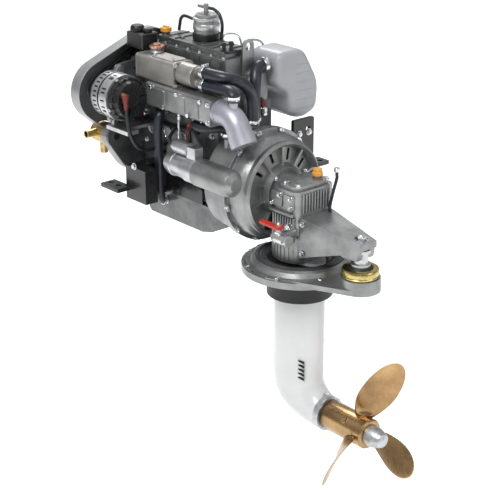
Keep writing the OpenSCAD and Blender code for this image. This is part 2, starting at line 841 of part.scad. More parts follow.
module idler_gear() {
  color("#8d9094") {
    rod_x(gear_x, idler_gear_r - gear_gap, idler_y, idler_z);
    rod_x([timing_x[0] + wall / 2 + seat_gap, block_x[0] + flange_t], shaft_r, idler_y, idler_z);
  }
}
module piston(x, drop) {
  crown = block_z[1] - seat_gap - drop;
  piston_h = 48;
  color("#b9bcc0") difference() {
    rod_z([crown - piston_h, crown], bore_r - run_gap, x);
    rod_z([crown - piston_h - cut, crown - 2 * wall], bore_r - wall, x);
  }
  color("#8d9094") rod_y([-bore_r + wall, bore_r - wall], wall + small_r, x, crown - piston_h / 2);
}
rod_l = 112;
function pin_drop(a) = throw_r + rod_l - throw_r * cos(a) - sqrt(rod_l * rod_l - pow(throw_r * sin(a), 2));
module piston_front() { piston(cylinder_x[0], pin_drop(0)); }
module piston_middle() { piston(cylinder_x[1], pin_drop(120)); }
module piston_rear() { piston(cylinder_x[2], pin_drop(240)); }

module pocket(x, r) {
  rod_x(x, r, starter_y, starter_z);
}
module flywheel_housing() {
  cross_end = route_cross[len(route_cross) - 1];
  breather_end = route_breather[len(route_breather) - 1];
  upper_end = route_upper[len(route_upper) - 1];
  color("gray") difference() {
    union() {
      rod_x(housing_x, bell_r, 0, crank_z);
      rod_x([housing_x[1] - flange_l, housing_x[1]], bell_flange_r, 0, crank_z);
      pocket([housing_x[0] - flange_l, housing_x[1]], pocket_r);
      rod_z([crank_z + bell_r / 2, cross_end[2]], small_hose_r - spigot_wall, cross_end[0], cross_end[1]);
      for (p = [breather_end, upper_end]) rod_z([crank_z + bell_r / 2, p[2]], hose_r - spigot_wall, p[0], p[1]);
    }
    rod_x([housing_x[0] + housing_wall, housing_x[1] + cut], bell_r - housing_wall, 0, crank_z);
    rod_x([housing_x[0] - cut, housing_x[1]], crank_flange_r + fit_gap, 0, crank_z);
    pocket([housing_x[0] - flange_l + housing_wall, housing_x[1] + cut], pocket_r - pocket_wall);
    pocket([housing_x[0] - flange_l - cut, housing_x[1]], pinion_r + fit_gap);
  }
}
module bell_housing() {
  rib_x = [bell_x[1] - 5.5 * bell_wall, bell_x[1] - 2.5 * bell_wall];
  slot_r = bell_neck_r + 2 * bell_wall;
  color("#85888b") difference() {
    union() {
      turned_x(bell_x[0], 0, crank_z, [[0, 0], [bell_flange_r, 0], [bell_flange_r, flange_l],
        [bell_r, flange_l], [bell_r - bell_wall / 2, bell_l / 2],
        [bell_r - 2 * bell_wall, bell_l - 4 * bell_wall], [bell_lip_r + bell_wall, bell_l - 2 * bell_wall],
        [bell_lip_r, bell_l - bell_wall], [bell_lip_r - bell_wall, bell_l - 2 * bell_wall],
        [bell_lip_r - 2 * bell_wall, bell_l - 5 * bell_wall], [bell_neck_r + bell_wall, bell_l - 4 * bell_wall],
        [bell_neck_r, bell_l], [0, bell_l]]);
      for (i = [0:bell_rib_count - 1]) translate([0, 0, crank_z]) rotate([360 * i / bell_rib_count, 0, 0])
        box(rib_x, [-bell_rib_w / 2, bell_rib_w / 2], [bell_neck_r - small_r, bell_lip_r - small_r]);
      turned_x(bell_x[0], starter_y, starter_z, [[0, 0], [pocket_r, 0], [pocket_r, 2 * flange_l],
        [pocket_r - small_r, 2 * flange_l + pocket_r / 2], [pocket_r / 2, 3 * flange_l + pocket_r / 2],
        [0, 3 * flange_l + pocket_r / 2]]);
    }
    turned_x(bell_x[0], 0, crank_z, [[0, -cut], [bell_r - bell_wall, -cut], [bell_r - bell_wall - small_r, bell_l / 2],
      [bell_r - 4 * bell_wall, bell_l - 6 * bell_wall], [input_bore, bell_l - 6 * bell_wall],
      [input_bore, bell_l + cut], [0, bell_l + cut]]);
    for (i = [0:3]) translate([0, 0, crank_z]) rotate([360 * (i - 1.5) / bell_rib_count, 0, 0])
      box([bell_x[1] - 8 * bell_wall, bell_x[1]], [-bell_slot_w / 2, bell_slot_w / 2], [slot_r, slot_r + bell_slot_l]);
  }
}

module alternator_body() {
  ear_y = alt_y + alt_r / 2;
  color("#c9ccd0") difference() {
    union() {
      rod_x(alt_x, alt_r, alt_y, alt_z);
      rod_x([pulley_x[1] + small_r, alt_x[0]], shaft_r + wall, alt_y, alt_z);
      plate_x([alt_x[0], alt_x[0] + alt_ear_t]) {
        link_outline([alt_y, alt_z], alt_r / 2, [alt_y, alt_foot_z], alt_ear_r);
        link_outline([alt_y, alt_z], alt_r / 2,
          [ear_y, alt_z + alt_r], alt_ear_r);
      }
    }
    rod_x([alt_x[0] + alt_wall, alt_x[1] + cut], alt_r - alt_wall, alt_y, alt_z);
    rod_x([pulley_x[1], alt_x[1]], shaft_r + run_gap, alt_y, alt_z);
    rod_x([alt_x[0] - cut, alt_x[1]], mount_hole_r / 2, alt_y, alt_foot_z);
    for (a = [0:30:330]) translate([0, alt_y, alt_z]) rotate([a, 0, 0])
      box([alt_x[1] - 3 * alt_wall, alt_x[1] - alt_wall],
        [-small_r / 2, small_r / 2], [alt_r - 2 * alt_wall, alt_r + cut]);
  }
}
module alternator_rear_cover() {
  slot_r = [shaft_r + wall, alt_cover_r - 2 * alt_wall];
  color("#232325") difference() {
    turned_x(alt_cover_x[0], alt_y, alt_z, [[0, 0], [alt_cover_r, 0],
      [alt_cover_r, alt_cover_l / 2], [alt_cover_r - small_r, alt_cover_l / 2],
      [alt_cover_r - alt_wall, alt_cover_l], [0, alt_cover_l]]);
    rod_x([alt_cover_x[0] - cut, alt_cover_x[1] - small_r], shaft_r + run_gap, alt_y, alt_z);
    for (a = [0:40:320]) translate([0, alt_y, alt_z]) rotate([a, 0, 0])
      box([alt_cover_x[1] - small_r, alt_cover_x[1] + cut], [-small_r / 2, small_r / 2], slot_r);
  }
}
module alternator_rotor() {
  color("#6b6e72") {
    difference() {
      pulley(alt_pulley_r, alt_y, alt_z, shaft_r + wall);
      rod_x([pulley_x[0] + small_r, pulley_x[1] + cut], shaft_r / 2, alt_y, alt_z);
    }
    rod_x([belt_x, alt_cover_x[0] + small_r], shaft_r, alt_y, alt_z);
    rod_x([alt_x[0] + alt_wall + rotor_gap, alt_x[1] - rotor_gap],
      alt_r - alt_wall - rotor_gap, alt_y, alt_z);
  }
}
module alternator_bracket() {
  rest_z = alt_foot_z - alt_ear_r - seat_gap;
  rear_x = alt_x[0] + cradle_l;
  lug_x = alt_x[0] + alt_ear_t + seat_gap;
  ear_y = alt_y + alt_r / 2;
  color("#b4b6b9") difference() {
    union() {
      box([block_x[0] + flange_t + seat_gap, rear_x], [alt_y - cradle_w / 2, alt_y + cradle_w / 2],
        [rest_z - cradle_t, rest_z]);
      box([block_x[0] + flange_t + seat_gap, rear_x - cradle_w], [alt_y, -block_y],
        [rest_z - cradle_t, rest_z - small_r / 2]);
      plate_x([lug_x, lug_x + cradle_t]) link_outline([alt_y, rest_z - small_r], alt_ear_r - small_r / 2,
        [alt_y, alt_foot_z], alt_ear_r - small_r);
    }
    rod_x([alt_x[0], rear_x], mount_hole_r / 2, alt_y, alt_foot_z);
  }
  color("#b4b6b9") plate_x([alt_x[0] - adjuster_t, alt_x[0]]) difference() {
    link_outline([ear_y, alt_z + alt_r], adjuster_w / 2,
      [pump_y - adjuster_reach, pump_z], adjuster_w / 2);
    translate([ear_y, alt_z + alt_r]) circle(mount_hole_r / 2);
  }
}
module coolant_pump_body() {
  body_x = [block_x[0] - timing_t, block_x[0]];
  box_x0 = cover_x[1] + pump_face_gap;
  color("gray") difference() {
    union() {
      rod_x(pump_body_x, hub_ring_r, pump_y, pump_z);
      plate_x([body_x[0], alt_x[0] - adjuster_t]) link_outline([pump_y, pump_z],
        hub_ring_r, [pump_y - adjuster_reach, pump_z], adjuster_w / 2 - small_r / 2);
      box(body_x, [pump_y - pump_r / 2, pump_y + pump_r],
        [block_z[1], pump_z + pump_r]);
    }
    rod_x([pump_body_x[0] - cut, body_x[1] - wall], shaft_r + run_gap, pump_y, pump_z);
    rod_x([body_x[0] + wall, body_x[1] - wall], pump_r / 2 + small_r / 2,
      pump_y, pump_z);
  }
  color("#2a2a2c") {
    box([box_x0, box_x0 + black_box_l], black_box_y, black_box_z);
    box([box_x0, body_x[1]], [black_box_y[1], pump_y], [pump_z + pump_r, black_box_z[1]]);
  }
}
module coolant_pump_pulley() {
  color("#3a3c40") {
    pulley(pump_pulley_r, pump_y, pump_z, hub_ring_r);
    rod_x([belt_x, block_x[0] - timing_t + wall + small_r], shaft_r, pump_y, pump_z);
    rod_x([block_x[0] - timing_t + wall + seat_gap, block_x[0] - wall - seat_gap],
      pump_r / 2, pump_y, pump_z);
  }
}

module heat_exchanger() {
  color("#b3b1ab") difference() {
    union() {
      plate_x(tank_x) rounded(tank_y, tank_z, corner_r);
      rod_z([tank_z[1] - cut, tank_z[1] + neck_h], neck_r, neck_x, neck_y);
    }
    rod_z([tank_z[1] - 2 * wall, tank_z[1] + neck_h + cut], neck_r - wall, neck_x, neck_y);
    box([tank_x[0] + wall, tank_x[1] + cut], [tank_y[0] + wall, tank_y[1] - wall],
      [tank_z[0] + wall, tank_z[1] - wall]);
  }
}
module coolant_cap() {
  neck_z = tank_z[1] + neck_h;
  color("#c8a486") {
    rod_z([neck_z + seat_gap, neck_z + seat_gap + cap_h / 2], cap_r, neck_x, neck_y);
    rod_z([neck_z + cap_h / 2, neck_z + cap_h], cap_r / 2, neck_x, neck_y);
    rod_z([neck_z - wall, neck_z + cap_h / 2], neck_r - wall - fit_gap, neck_x, neck_y);
    box([neck_x - cap_r - small_r, neck_x + cap_r + small_r],
      [neck_y - small_r, neck_y + small_r], [neck_z + seat_gap, neck_z + cap_h / 2]);
  }
}
module exchanger_end_cap() {
  color("#a5a6a8") difference() {
    union() {
      rod_x([tank_end_x[0], route_upper[0][0] - tank_spigot_l], tank_end_r, tank_end_y, tank_end_z);
      for (p = [route_upper[0], route_lower[0]])
        rod_x([p[0] - tank_spigot_l - cut, p[0]], tank_spigot_r, p[1], p[2]);
    }
    rod_x([tank_end_x[0] - cut, route_upper[0][0] - tank_spigot_l - wall], tank_end_r - wall, tank_end_y, tank_end_z);
  }
}
module exhaust_manifold() {
  body_y = -block_y - side_seat_gap;
  color("#9b9da0") difference() {
    union() {
      plate_x(manifold_x) rounded([manifold_y[0], body_y], manifold_z, corner_r);
      plate_x(runner_x) rounded([runner_y, body_y], runner_z, small_r);
      box([runner_x[0], cylinder_x[2] + 2 * port_r], [manifold_y[1] - manifold_foot_t - small_r, manifold_y[1]], manifold_foot_z);
    }
    rod_x([manifold_x[0] + wall, manifold_x[1] + cut], gallery_r, elbow_y, elbow_z);
    for (x = [cylinder_x[1], cylinder_x[2]]) rod_y([elbow_y, manifold_y[1] + cut], port_r, x, port_z);
    rod_y([runner_y + wall, manifold_y[1] + cut], runner_bore, cylinder_x[0], port_z);
    rod_x([cylinder_x[0], manifold_x[0] + 2 * wall], runner_bore, runner_y + wall + runner_bore / 2, port_z);
  }
}
// Centre line of the exhaust elbow, from the manifold to its mouth
elbow_start = manifold_x[1] + elbow_flange_t + elbow_lead;
elbow_turn_x = elbow_start + elbow_bend_r * sin(elbow_angle);
elbow_turn_z = elbow_z - elbow_bend_r * (1 - cos(elbow_angle));
module elbow_solid(r, extra) {
  rod_x([manifold_x[1] - extra, elbow_start + seat_gap], r, elbow_y, elbow_z);
  translate([elbow_start, elbow_y, elbow_z - elbow_bend_r]) rotate([90, elbow_angle - 90, 0])
    rotate_extrude(angle = elbow_angle) translate([elbow_bend_r, 0]) circle(r - seat_gap);
  translate([elbow_turn_x, elbow_y, elbow_turn_z]) rotate([0, 90 + elbow_angle, 0])
    translate([0, 0, -seat_gap]) cylinder(r = r, h = elbow_mouth_l + extra + seat_gap);
}
module mixing_elbow() {
  inject = route_lower[len(route_lower) - 1];
  color("#c3c6cd") difference() {
    union() {
      elbow_solid(elbow_r, 0);
      rod_x([manifold_x[1], manifold_x[1] + elbow_flange_t], elbow_flange_r, elbow_y, elbow_z);
      translate([elbow_turn_x, elbow_y, elbow_turn_z]) rotate([0, 90 + elbow_angle, 0])
        translate([0, 0, elbow_mouth_l - elbow_bead_w]) cylinder(r = elbow_r + elbow_bead, h = elbow_bead_w);
      rod_z([elbow_z - elbow_bend_r / 2, inject[2]], tank_spigot_r, inject[0], inject[1]);
    }
    elbow_solid(elbow_r - elbow_wall, cut);
  }
}
module intake_manifold() {
  log_y = [intake_y[0] + small_r, intake_y[1]];
  color("#87898c") difference() {
    union() {
      plate_x(intake_x) rounded(log_y, intake_z, corner_r);
      for (x = [cylinder_x[0], cylinder_x[1]])
        rod_y([intake_y[0], intake_y[0] + 2 * small_r], intake_port_r, x, (intake_z[0] + intake_z[1]) / 2);
      box([intake_x[1] - cut, silencer_x[0] - small_r], [intake_y[0], intake_y[0] + 2 * small_r], intake_z);
    }
    rod_x([intake_x[0] + wall, intake_x[1] + cut], duct_r - 2 * duct_wall, duct_y, silencer_mouth_z);
  }
  color("#1f2022") difference() {
    rod_x([intake_x[1], silencer_x[0]], duct_r, duct_y, silencer_mouth_z);
    rod_x([intake_x[1] - cut, silencer_x[0] + cut], duct_r - duct_wall, duct_y, silencer_mouth_z);
  }
}
module intake_silencer() {
  c = route_breather[0];
  color("#8f9195") difference() {
    union() {
      plate_x(silencer_x) offset(silencer_r) offset(delta = -silencer_r) polygon(silencer_shape);
      rod_y([c[1], silencer_shape[7][0] + small_r], hose_r - spigot_wall, c[0], c[2]);
    }
    plate_x([silencer_x[0] + duct_wall, silencer_x[1] - duct_wall]) offset(silencer_r)
      offset(delta = -silencer_r - duct_wall) polygon(silencer_shape);
    rod_x([silencer_x[0] - cut, silencer_x[0] + cut], duct_r - duct_wall, duct_y, silencer_mouth_z);
  }
}
module rubber_hoses() {
  color("#1d1d20") {
    for (route = [route_upper, route_lower, route_breather]) hose(route, hose_r);
    for (route = [route_drop, route_cross]) hose(route, small_hose_r);
    for (route = [route_fuel_in, route_fuel_out]) hose(route, fuel_hose_r);
    hose(route_cable, cable_r);
  }
}
module fuel_filter() {
  foot_z = step_top_z;
  can_z = fuel_filter_z + fuel_filter_h;
  stem_z = can_z + fuel_lid_h + fuel_stem_h;
  inlet = route_fuel_in[0];
  outlet = route_fuel_out[0];
  color("#a9a9a6") {
    rod_z([foot_z, fuel_filter_z], fuel_foot_w, fuel_filter_x, fuel_filter_y);
    rod_z([fuel_filter_z, can_z], fuel_filter_r, fuel_filter_x, fuel_filter_y);
    rod_z([can_z, can_z + fuel_lid_h], fuel_filter_r - small_r, fuel_filter_x, fuel_filter_y);
    rod_z([can_z, stem_z], fuel_stem_r, fuel_filter_x, fuel_filter_y);
    rod_x([fuel_filter_x - fuel_bar_l / 2, outlet[0]], fuel_bar_r, fuel_filter_y, outlet[2]);
    rod_x([inlet[0], fuel_filter_x], fuel_bar_r, fuel_filter_y, inlet[2]);
  }
}
module injection_pump() {
  color("#84878b") {
    plate_x(feed_x) rounded(feed_y, feed_z, small_r);
    for (i = [0:2]) rod_z([feed_z[1], feed_z[1] + delivery_h], delivery_r,
      pump_outlet_x(i), (feed_y[0] + feed_y[1]) / 2);
    rod_y([feed_y[1] - cut, feed_y[1] + small_r], delivery_r, lever_x, lever_z);
  }
}
function pump_outlet_x(i) = feed_x[0] + (feed_x[1] - feed_x[0]) * (i + 1) / 4;
lever_x = feed_x[1] - 2 * delivery_r;
lever_z = (feed_z[0] + feed_z[1]) / 2;
module throttle_lever() {
  y = [feed_y[1] + small_r + seat_gap, feed_y[1] + small_r + seat_gap + lever_t];
  color("#b9bbbf") difference() {
    plate_y(y) link_outline([lever_x, lever_z], delivery_r, [lever_x, lever_z + lever_l], lever_w / 2);
    rod_y([y[0] - cut, y[1] + cut], small_r / 2, lever_x, lever_z + lever_l);
  }
}
module injector_lines() {
  color("#a6a8ab") for (x = cylinder_x) {
    rod_z([head_z[0] + wall, head_z[1]], injector_r / 2, x, injector_y);
    rod_z([head_z[1], head_z[1] + injector_h], injector_r, x, injector_y);
  }
  color("#b4b6b9") for (i = [0:2]) hose(pipe_route(i), pipe_r);
}
function pipe_route(i) = let (x = cylinder_x[i], top = head_z[1] + injector_h, far_x = pump_outlet_x(i),
  far_y = (feed_y[0] + feed_y[1]) / 2, far_z = feed_z[1] + delivery_h) [
  [x, injector_y, top], [x, injector_y, top + pipe_rise / 2], [x, injector_y, top + pipe_rise],
  [x, injector_y + pipe_out, top + 2 * pipe_rise], [x - pipe_rise, intake_y[1], top],
  [x - pipe_out, intake_y[1] + pipe_out, intake_z[1]], [blend(x, far_x, 0.5), intake_y[1] + pipe_out, intake_z[0] - pipe_out],
  [far_x, intake_y[1], far_z + 3 * pipe_rise], [far_x, far_y, far_z + 2 * pipe_rise],
  [far_x, far_y, far_z + pipe_rise], [far_x, far_y, far_z]];
module starter_motor() {
  color("#b9bbbd") {
    rod_x(starter_x, starter_r, starter_y, starter_z);
    rod_x([starter_x[0] - starter_cap_l, starter_x[0]], starter_r - small_r, starter_y, starter_z);
    difference() {
      rod_x([starter_x[1], housing_x[0] - flange_l], pocket_r - small_r / 2, starter_y, starter_z);
      rod_x([pinion_x[0] - pinion_shaft_l - small_r, housing_x[0]], pinion_shaft_r + run_gap, starter_y, starter_z);
    }
    box([starter_x[1], housing_x[0] - flange_l - small_r], [starter_y - solenoid_r + small_r, starter_y + solenoid_r - small_r],
      [starter_z + starter_r / 2, starter_z + solenoid_up + solenoid_r - small_r]);
  }
}
module starter_solenoid() {
  z = starter_z + solenoid_up;
  color("#a9abae") {
    rod_x(solenoid_x, solenoid_r, starter_y, z);
    rod_x([solenoid_x[0] - solenoid_cap_l, solenoid_x[0]], solenoid_r - small_r, starter_y, z);
    for (k = [-1, 1]) rod_x([solenoid_x[0] - solenoid_cap_l - 2 * small_r, solenoid_x[0] - solenoid_cap_l], small_r,
      starter_y + 2 * k * small_r, z + small_r);
  }
}
module oil_filter() {
  y = [block_y, block_y + filter_boss_l, block_y + filter_boss_l + filter_can_l];
  color("#8d9094") rod_y([y[0], y[1]], filter_boss_r, oil_filter_x, oil_filter_z);
  color("#2d3a56") rod_y([y[1], y[2]], filter_can_r, oil_filter_x, oil_filter_z);
}
module raw_water_pump() {
  x = [timing_x[0] - raw_pump_l, timing_x[0]];
  color("#b08d4c") difference() {
    union() {
      rod_x([x[0] + raw_cover_t, x[1]], raw_pump_r, raw_pump_y, raw_pump_z);
      rod_x([x[0], x[0] + raw_cover_t], raw_pump_r - small_r / 2, raw_pump_y, raw_pump_z);
      rod_y([raw_pump_y - raw_pump_r - raw_spigot_l, raw_pump_y], raw_spigot_r, x[0] + raw_pump_l / 2, raw_pump_z + small_r);
      rod_z([raw_pump_z - raw_pump_r - raw_spigot_l, raw_pump_z], raw_spigot_r, x[0] + raw_pump_l / 2, raw_pump_y);
    }
    rod_x([x[0] + 2 * raw_cover_t, x[1] - 4 * raw_cover_t], impeller_r + small_r / 2, raw_pump_y, raw_pump_z);
    rod_x([x[0] + 2 * raw_cover_t, x[1] + cut], shaft_r + run_gap, raw_pump_y, raw_pump_z);
    rod_y([raw_pump_y - raw_pump_r - raw_spigot_l - cut, raw_pump_y - impeller_r + cut], raw_spigot_bore, x[0] + raw_pump_l / 2, raw_pump_z + small_r);
    rod_z([raw_pump_z - raw_pump_r - raw_spigot_l - cut, raw_pump_z - impeller_r + cut], raw_spigot_bore, x[0] + raw_pump_l / 2, raw_pump_y);
  }
}
module raw_water_impeller() {
  x = [timing_x[0] - raw_pump_l, timing_x[0]];
  color("#2a2a2c") {
    rod_x([x[0] + 2 * raw_cover_t + seat_gap, x[1] - 4 * raw_cover_t - seat_gap], impeller_r, raw_pump_y, raw_pump_z);
    rod_x([x[0] + 3 * raw_cover_t, block_x[0] + flange_t], shaft_r, raw_pump_y, raw_pump_z);
    rod_x(gear_x, pump_gear_r - gear_gap, raw_pump_y, raw_pump_z);
  }
}
module starter_pinion() {
  color("#8d9094") {
    rod_x(pinion_x, pinion_r, starter_y, starter_z);
    rod_x([pinion_x[0] - pinion_shaft_l, pinion_x[0]], pinion_shaft_r, starter_y, starter_z);
  }
}
module oil_filler_cap() {
  z = step_top_z + filler_neck_h + seat_gap;
  color("#d9a441") {
    rod_z([z, z + cap_h], filler_neck_r + small_r, filler_x, filler_y);
    box([filler_x - filler_neck_r, filler_x + filler_neck_r], [filler_y - small_r / 2, filler_y + small_r / 2],
      [z, z + cap_h + small_r]);
  }
}

module front_mount_bracket() {
  y = [-block_y - front_out, -block_y - bracket_t];
  box_x = [front_x[0], front_x[0] + front_box_l];
  foot_y = [-block_y - front_foot_out, y[0] + front_box_wall];
  foot_z = front_z[0] + front_foot_rise;
  web_z = block_z[0] + seat_gap;
  color("#1b1b1d") difference() {
    union() {
      plate_y([y[1], -block_y]) polygon([[front_x[0], web_z],
        [front_x[0], front_z[1]], [box_x[1], front_z[1]],
        [front_x[1], web_z + front_link_l], [front_x[1], web_z]]);
      box([box_x[0], box_x[0] + front_link_l], y, front_z);
      box(box_x, [y[0], y[1] - front_hose_gap], front_z);
      box(front_foot_x, foot_y, [foot_z, foot_z + bracket_t]);
    }
    box([box_x[0] + front_box_wall, box_x[1] - front_box_wall], [y[0] + front_box_wall, y[1] - front_hose_gap - front_box_wall],
      [front_z[0] - cut, front_z[1] - front_box_wall]);
    for (x = [front_foot_x[0] + 2 * mount_hole_r, box_x[0] - 2 * mount_hole_r])
      rod_z([foot_z - cut, foot_z + bracket_t + cut], mount_hole_r, x, (foot_y[0] + foot_y[1]) / 2);
  }
}
module aft_mount_bracket() {
  foot_x = [aft_x[0], aft_x[1] + aft_foot_l / 2];
  foot_y = [aft_y[1] - bracket_t, aft_y[1] + aft_foot_w];
  hole_y = aft_y[1] - 2 * bracket_t;
  color("#1b1b1d") difference() {
    union() {
      plate_x(aft_x) rounded(aft_y, aft_z, small_r);
      box(foot_x, foot_y, [aft_z[0] - bracket_t / 2, aft_z[0] + bracket_t / 2]);
    }
    rod_x([foot_x[0] - cut, foot_x[1] + cut], bell_r + fit_gap, 0, crank_z);
    for (z = [aft_z[0] + 4 * mount_hole_r, aft_z[1] - 4 * mount_hole_r])
      rod_x([foot_x[0] - cut, aft_x[1] + cut], mount_hole_r, hole_y, z);
    rod_z([crank_z, aft_z[0] + bracket_t], mount_hole_r, foot_x[1] - 2 * mount_hole_r, (foot_y[0] + foot_y[1]) / 2);
  }
}

module gear_case() {
  top = [case_z[1], case_z[1] + case_lid_h];
  color("#85888b") difference() {
    union() {
      rod_x([case_x[0], 0], case_front_r, 0, crank_z);
      rod_z(round_z, round_r, 0, 0);
      plate_z([case_box_z0, case_z[1]]) rounded([case_box_x0, case_x[1]], [-case_half_w, case_half_w], case_corner);
      box([0, case_x[1]], [-arm_half_w, arm_half_w], [case_z[0] + corner_r, case_box_z0 + cut]);
      plate_z(top) rounded([case_box_x0 + case_lid_in, case_x[1] - case_lid_in],
        [-case_half_w + case_lid_in, case_half_w - case_lid_in], case_corner);
      rod_z([top[0], top[1] + oil_cap_neck_h], oil_cap_r - small_r / 2, oil_cap_x, oil_cap_y);
      intersection() {
        for (i = [0:fin_count - 1]) rotate(360 * i / fin_count)
          box([round_r - small_r, round_r + fin_h - small_r], [-fin_w / 2, fin_w / 2],
            [case_z[0] + small_r, case_box_z0 - corner_r]);
        box([case_x[0] + seat_gap, round_r + fin_h], [-round_r - fin_h, round_r + fin_h], [0, case_z[1]]);
      }
      rod_y([cock_y + cock_r, -round_r + corner_r], cock_r - small_r / 2, cock_elbow_x, cock_z);
    }
    box([-round_r - fin_h, case_x[0]], [-round_r, round_r], [case_z[0] - cut, case_z[1]]);
    box([case_x[1], round_r + fin_h], [-round_r, round_r], [case_z[0] - cut, case_z[1]]);
    rod_z([case_z[0] - cut, case_z[1] - case_wall], vertical_bore, 0, 0);
    rod_x([case_x[0] + bearing_l, 0], input_bore, 0, crank_z);
    rod_x([case_x[0] - cut, 0], input_r + run_gap, 0, crank_z);
    rod_z([case_z[0] + case_wall + oil_stick_l, top[1] + 2 * oil_cap_neck_h], oil_stick_r + small_r / 2, oil_cap_x, oil_cap_y);
  }
}
module gear_oil_cap() {
  z = case_z[1] + case_lid_h + oil_cap_neck_h + seat_gap;
  color("#e0a03c") {
    rod_z([z, z + oil_cap_h / 2], oil_cap_r, oil_cap_x, oil_cap_y);
    rod_z([z + oil_cap_h / 2, z + oil_cap_h], oil_cap_r - small_r / 2, oil_cap_x, oil_cap_y);
  }
  color("#c9ccd0") rod_z([z - oil_stick_l, z], oil_stick_r, oil_cap_x, oil_cap_y);
}
module mount_arm() {
  hollow_z = arm_top_z - 2 * arm_wall;
  color("#7d8083") difference() {
    intersection() {
      plate_y([-arm_half_w, arm_half_w]) polygon(arm_profile);
      plate_z([0, case_z[1]]) polygon([[arm_x[0], -arm_half_w], [arm_x[1], -arm_tip_half_w],
        [arm_x[1], arm_tip_half_w], [arm_x[0], arm_half_w]]);
    }
    box([arm_x[0] + arm_wall, mount_x - isolator_neck_r - 2 * arm_wall],
      [-arm_tip_half_w + arm_wall / 2, arm_tip_half_w - arm_wall / 2], [0, hollow_z]);
    rod_z([0, case_z[1]], isolator_stud_r + fit_gap, mount_x, 0);
    rod_z([mount_top_z, case_z[1]], isolator_nut_r + small_r, mount_x, 0);
  }
}
module rear_isolator() {
  cup_z = seat_z + isolator_cup_h;
  arm_low_z = arm_profile[2][1];
  color("#c2a24d") translate([mount_x, 0, 0]) rotate_extrude() polygon([[0, seat_z], [isolator_r - small_r / 2, seat_z],
    [isolator_r, seat_z + small_r], [isolator_r, cup_z - 2 * small_r], [isolator_r - small_r, cup_z],
    [isolator_neck_r + small_r / 2, cup_z], [isolator_neck_r, cup_z - small_r / 2], [0, cup_z - small_r / 2]]);
  color("#d8dadd") {
    rod_z([cup_z - small_r / 2, cup_z + small_r], isolator_neck_r - small_r, mount_x, 0);
    rod_z([cup_z + small_r, arm_low_z], isolator_neck_r, mount_x, 0);
    rod_z([arm_low_z, mount_top_z + isolator_washer_h + isolator_nut_h + 2 * small_r], isolator_stud_r, mount_x, 0);
    rod_z([mount_top_z, mount_top_z + isolator_washer_h], isolator_nut_r + small_r / 2, mount_x, 0);
    translate([mount_x, 0, mount_top_z + isolator_washer_h]) cylinder(r = isolator_nut_r, h = isolator_nut_h, $fn = 6);
  }
}
module mounting_ring() {
  bead_z = ring_t + bead_h;
  half = bead_r - ring_bore_r;
  color("#6f7275") difference() {
    union() {
      plate_z([0, ring_t]) circle(ring_r);
      plate_z([lobe_lift, ring_t + small_r]) link_outline([0, 0], ring_r - corner_r, [mount_x, 0], lobe_r);
      translate([mount_x, 0, ring_t]) cylinder(r1 = lobe_r, r2 = isolator_r + small_r, h = seat_z - ring_t);
      rotate_extrude() polygon([[ring_bore_r - small_r, small_r], [ring_bore_r + 2 * half, small_r],
        [ring_bore_r + 2 * half, ring_t], [bead_r + half / 2, bead_z - small_r], [bead_r, bead_z],
        [bead_r - half / 2, bead_z - small_r], [ring_bore_r - small_r, ring_t]]);
      for (i = [1:pad_count]) rotate(360 * i / (pad_count + 1))
        box([hull_circle_r - pad_w / 2, hull_circle_r + pad_w / 2], [-pad_l / 2, pad_l / 2],
          [ring_t - small_r, ring_t + pad_h]);
    }
    rod_z([-cut, bead_z + cut], ring_bore_r, 0, 0);
    for (i = [0:hull_bolt_count - 1]) rotate(360 * (i + 0.5) / hull_bolt_count)
      rod_z([-cut, bead_z], hull_bolt_r, hull_circle_r, 0);
  }
}
// Leg section as an egg shape, rounder at the front
function leg_point(a, half_l, half_w) = [half_l * cos(a), half_w * sin(a) * (1 - leg_taper_share * cos(a))];
module leg_outline(grow) {
  translate([leg_mid_x, 0]) polygon([for (j = [0:leg_sides - 1])
    leg_point(360 * j / leg_sides, leg_l / 2 + grow, leg_w / 2 + grow)]);
}
module rubber_boot() {
  top_r = ring_bore_r - seat_gap;
  z1 = case_z[0] - small_r;
  color("#19191b") difference() {
    rotate_extrude() polygon(concat([[0, -boot_depth], [boot_sleeve_r, -boot_depth], [boot_sleeve_r, -boot_depth / 4],
      [top_r, small_r], [top_r, ring_t]],
      [for (i = [0:boot_fold_count - 1], k = [0, 1]) [top_r - (i + k / 2) * (top_r - round_r - fin_h) / boot_fold_count,
        z1 - boot_fold * k]], [[0, z1]]));
    translate([0, 0, -boot_depth - cut]) linear_extrude(boot_depth + z1 + 2 * cut) leg_outline(seat_gap);
  }
}
// The leg bends about an axis level with the start of its curve
leg_bend_in = leg_end_x - leg_mid_x - leg_l / 2;
leg_bend_out = leg_end_x - leg_mid_x + leg_l / 2;
leg_end_in = prop_depth + leg_bend_z - torpedo_r;
leg_end_out = prop_depth + leg_bend_z + torpedo_r;
function corner_reach(a) = pow(pow(cos(a) / leg_bend_out, leg_corner_power) + pow(sin(a) / leg_end_out, leg_corner_power),
  -1 / leg_corner_power);
function leg_ring(k) =
  let (t = max(k, 0) / leg_steps, a = 90 * t,
    inner = blend(leg_bend_in, leg_end_in, t * t), outer = corner_reach(a),
    mid = (inner + outer) / 2, half = (outer - inner) / 2, width = blend(leg_w / 2, torpedo_r, t),
    rise = k < 0 ? leg_top_z - leg_bend_z : 0)
  [for (j = [0:leg_sides - 1]) let (q = leg_point(-360 * j / leg_sides, half, width),
    p = [q[0], q[1] * (1 + t * leg_taper_share * cos(360 * j / leg_sides) / (1 - leg_taper_share * cos(360 * j / leg_sides)))],
    reach = mid - p[0])
    [leg_end_x - reach * cos(a), p[1], leg_bend_z + rise - reach * sin(a)]];
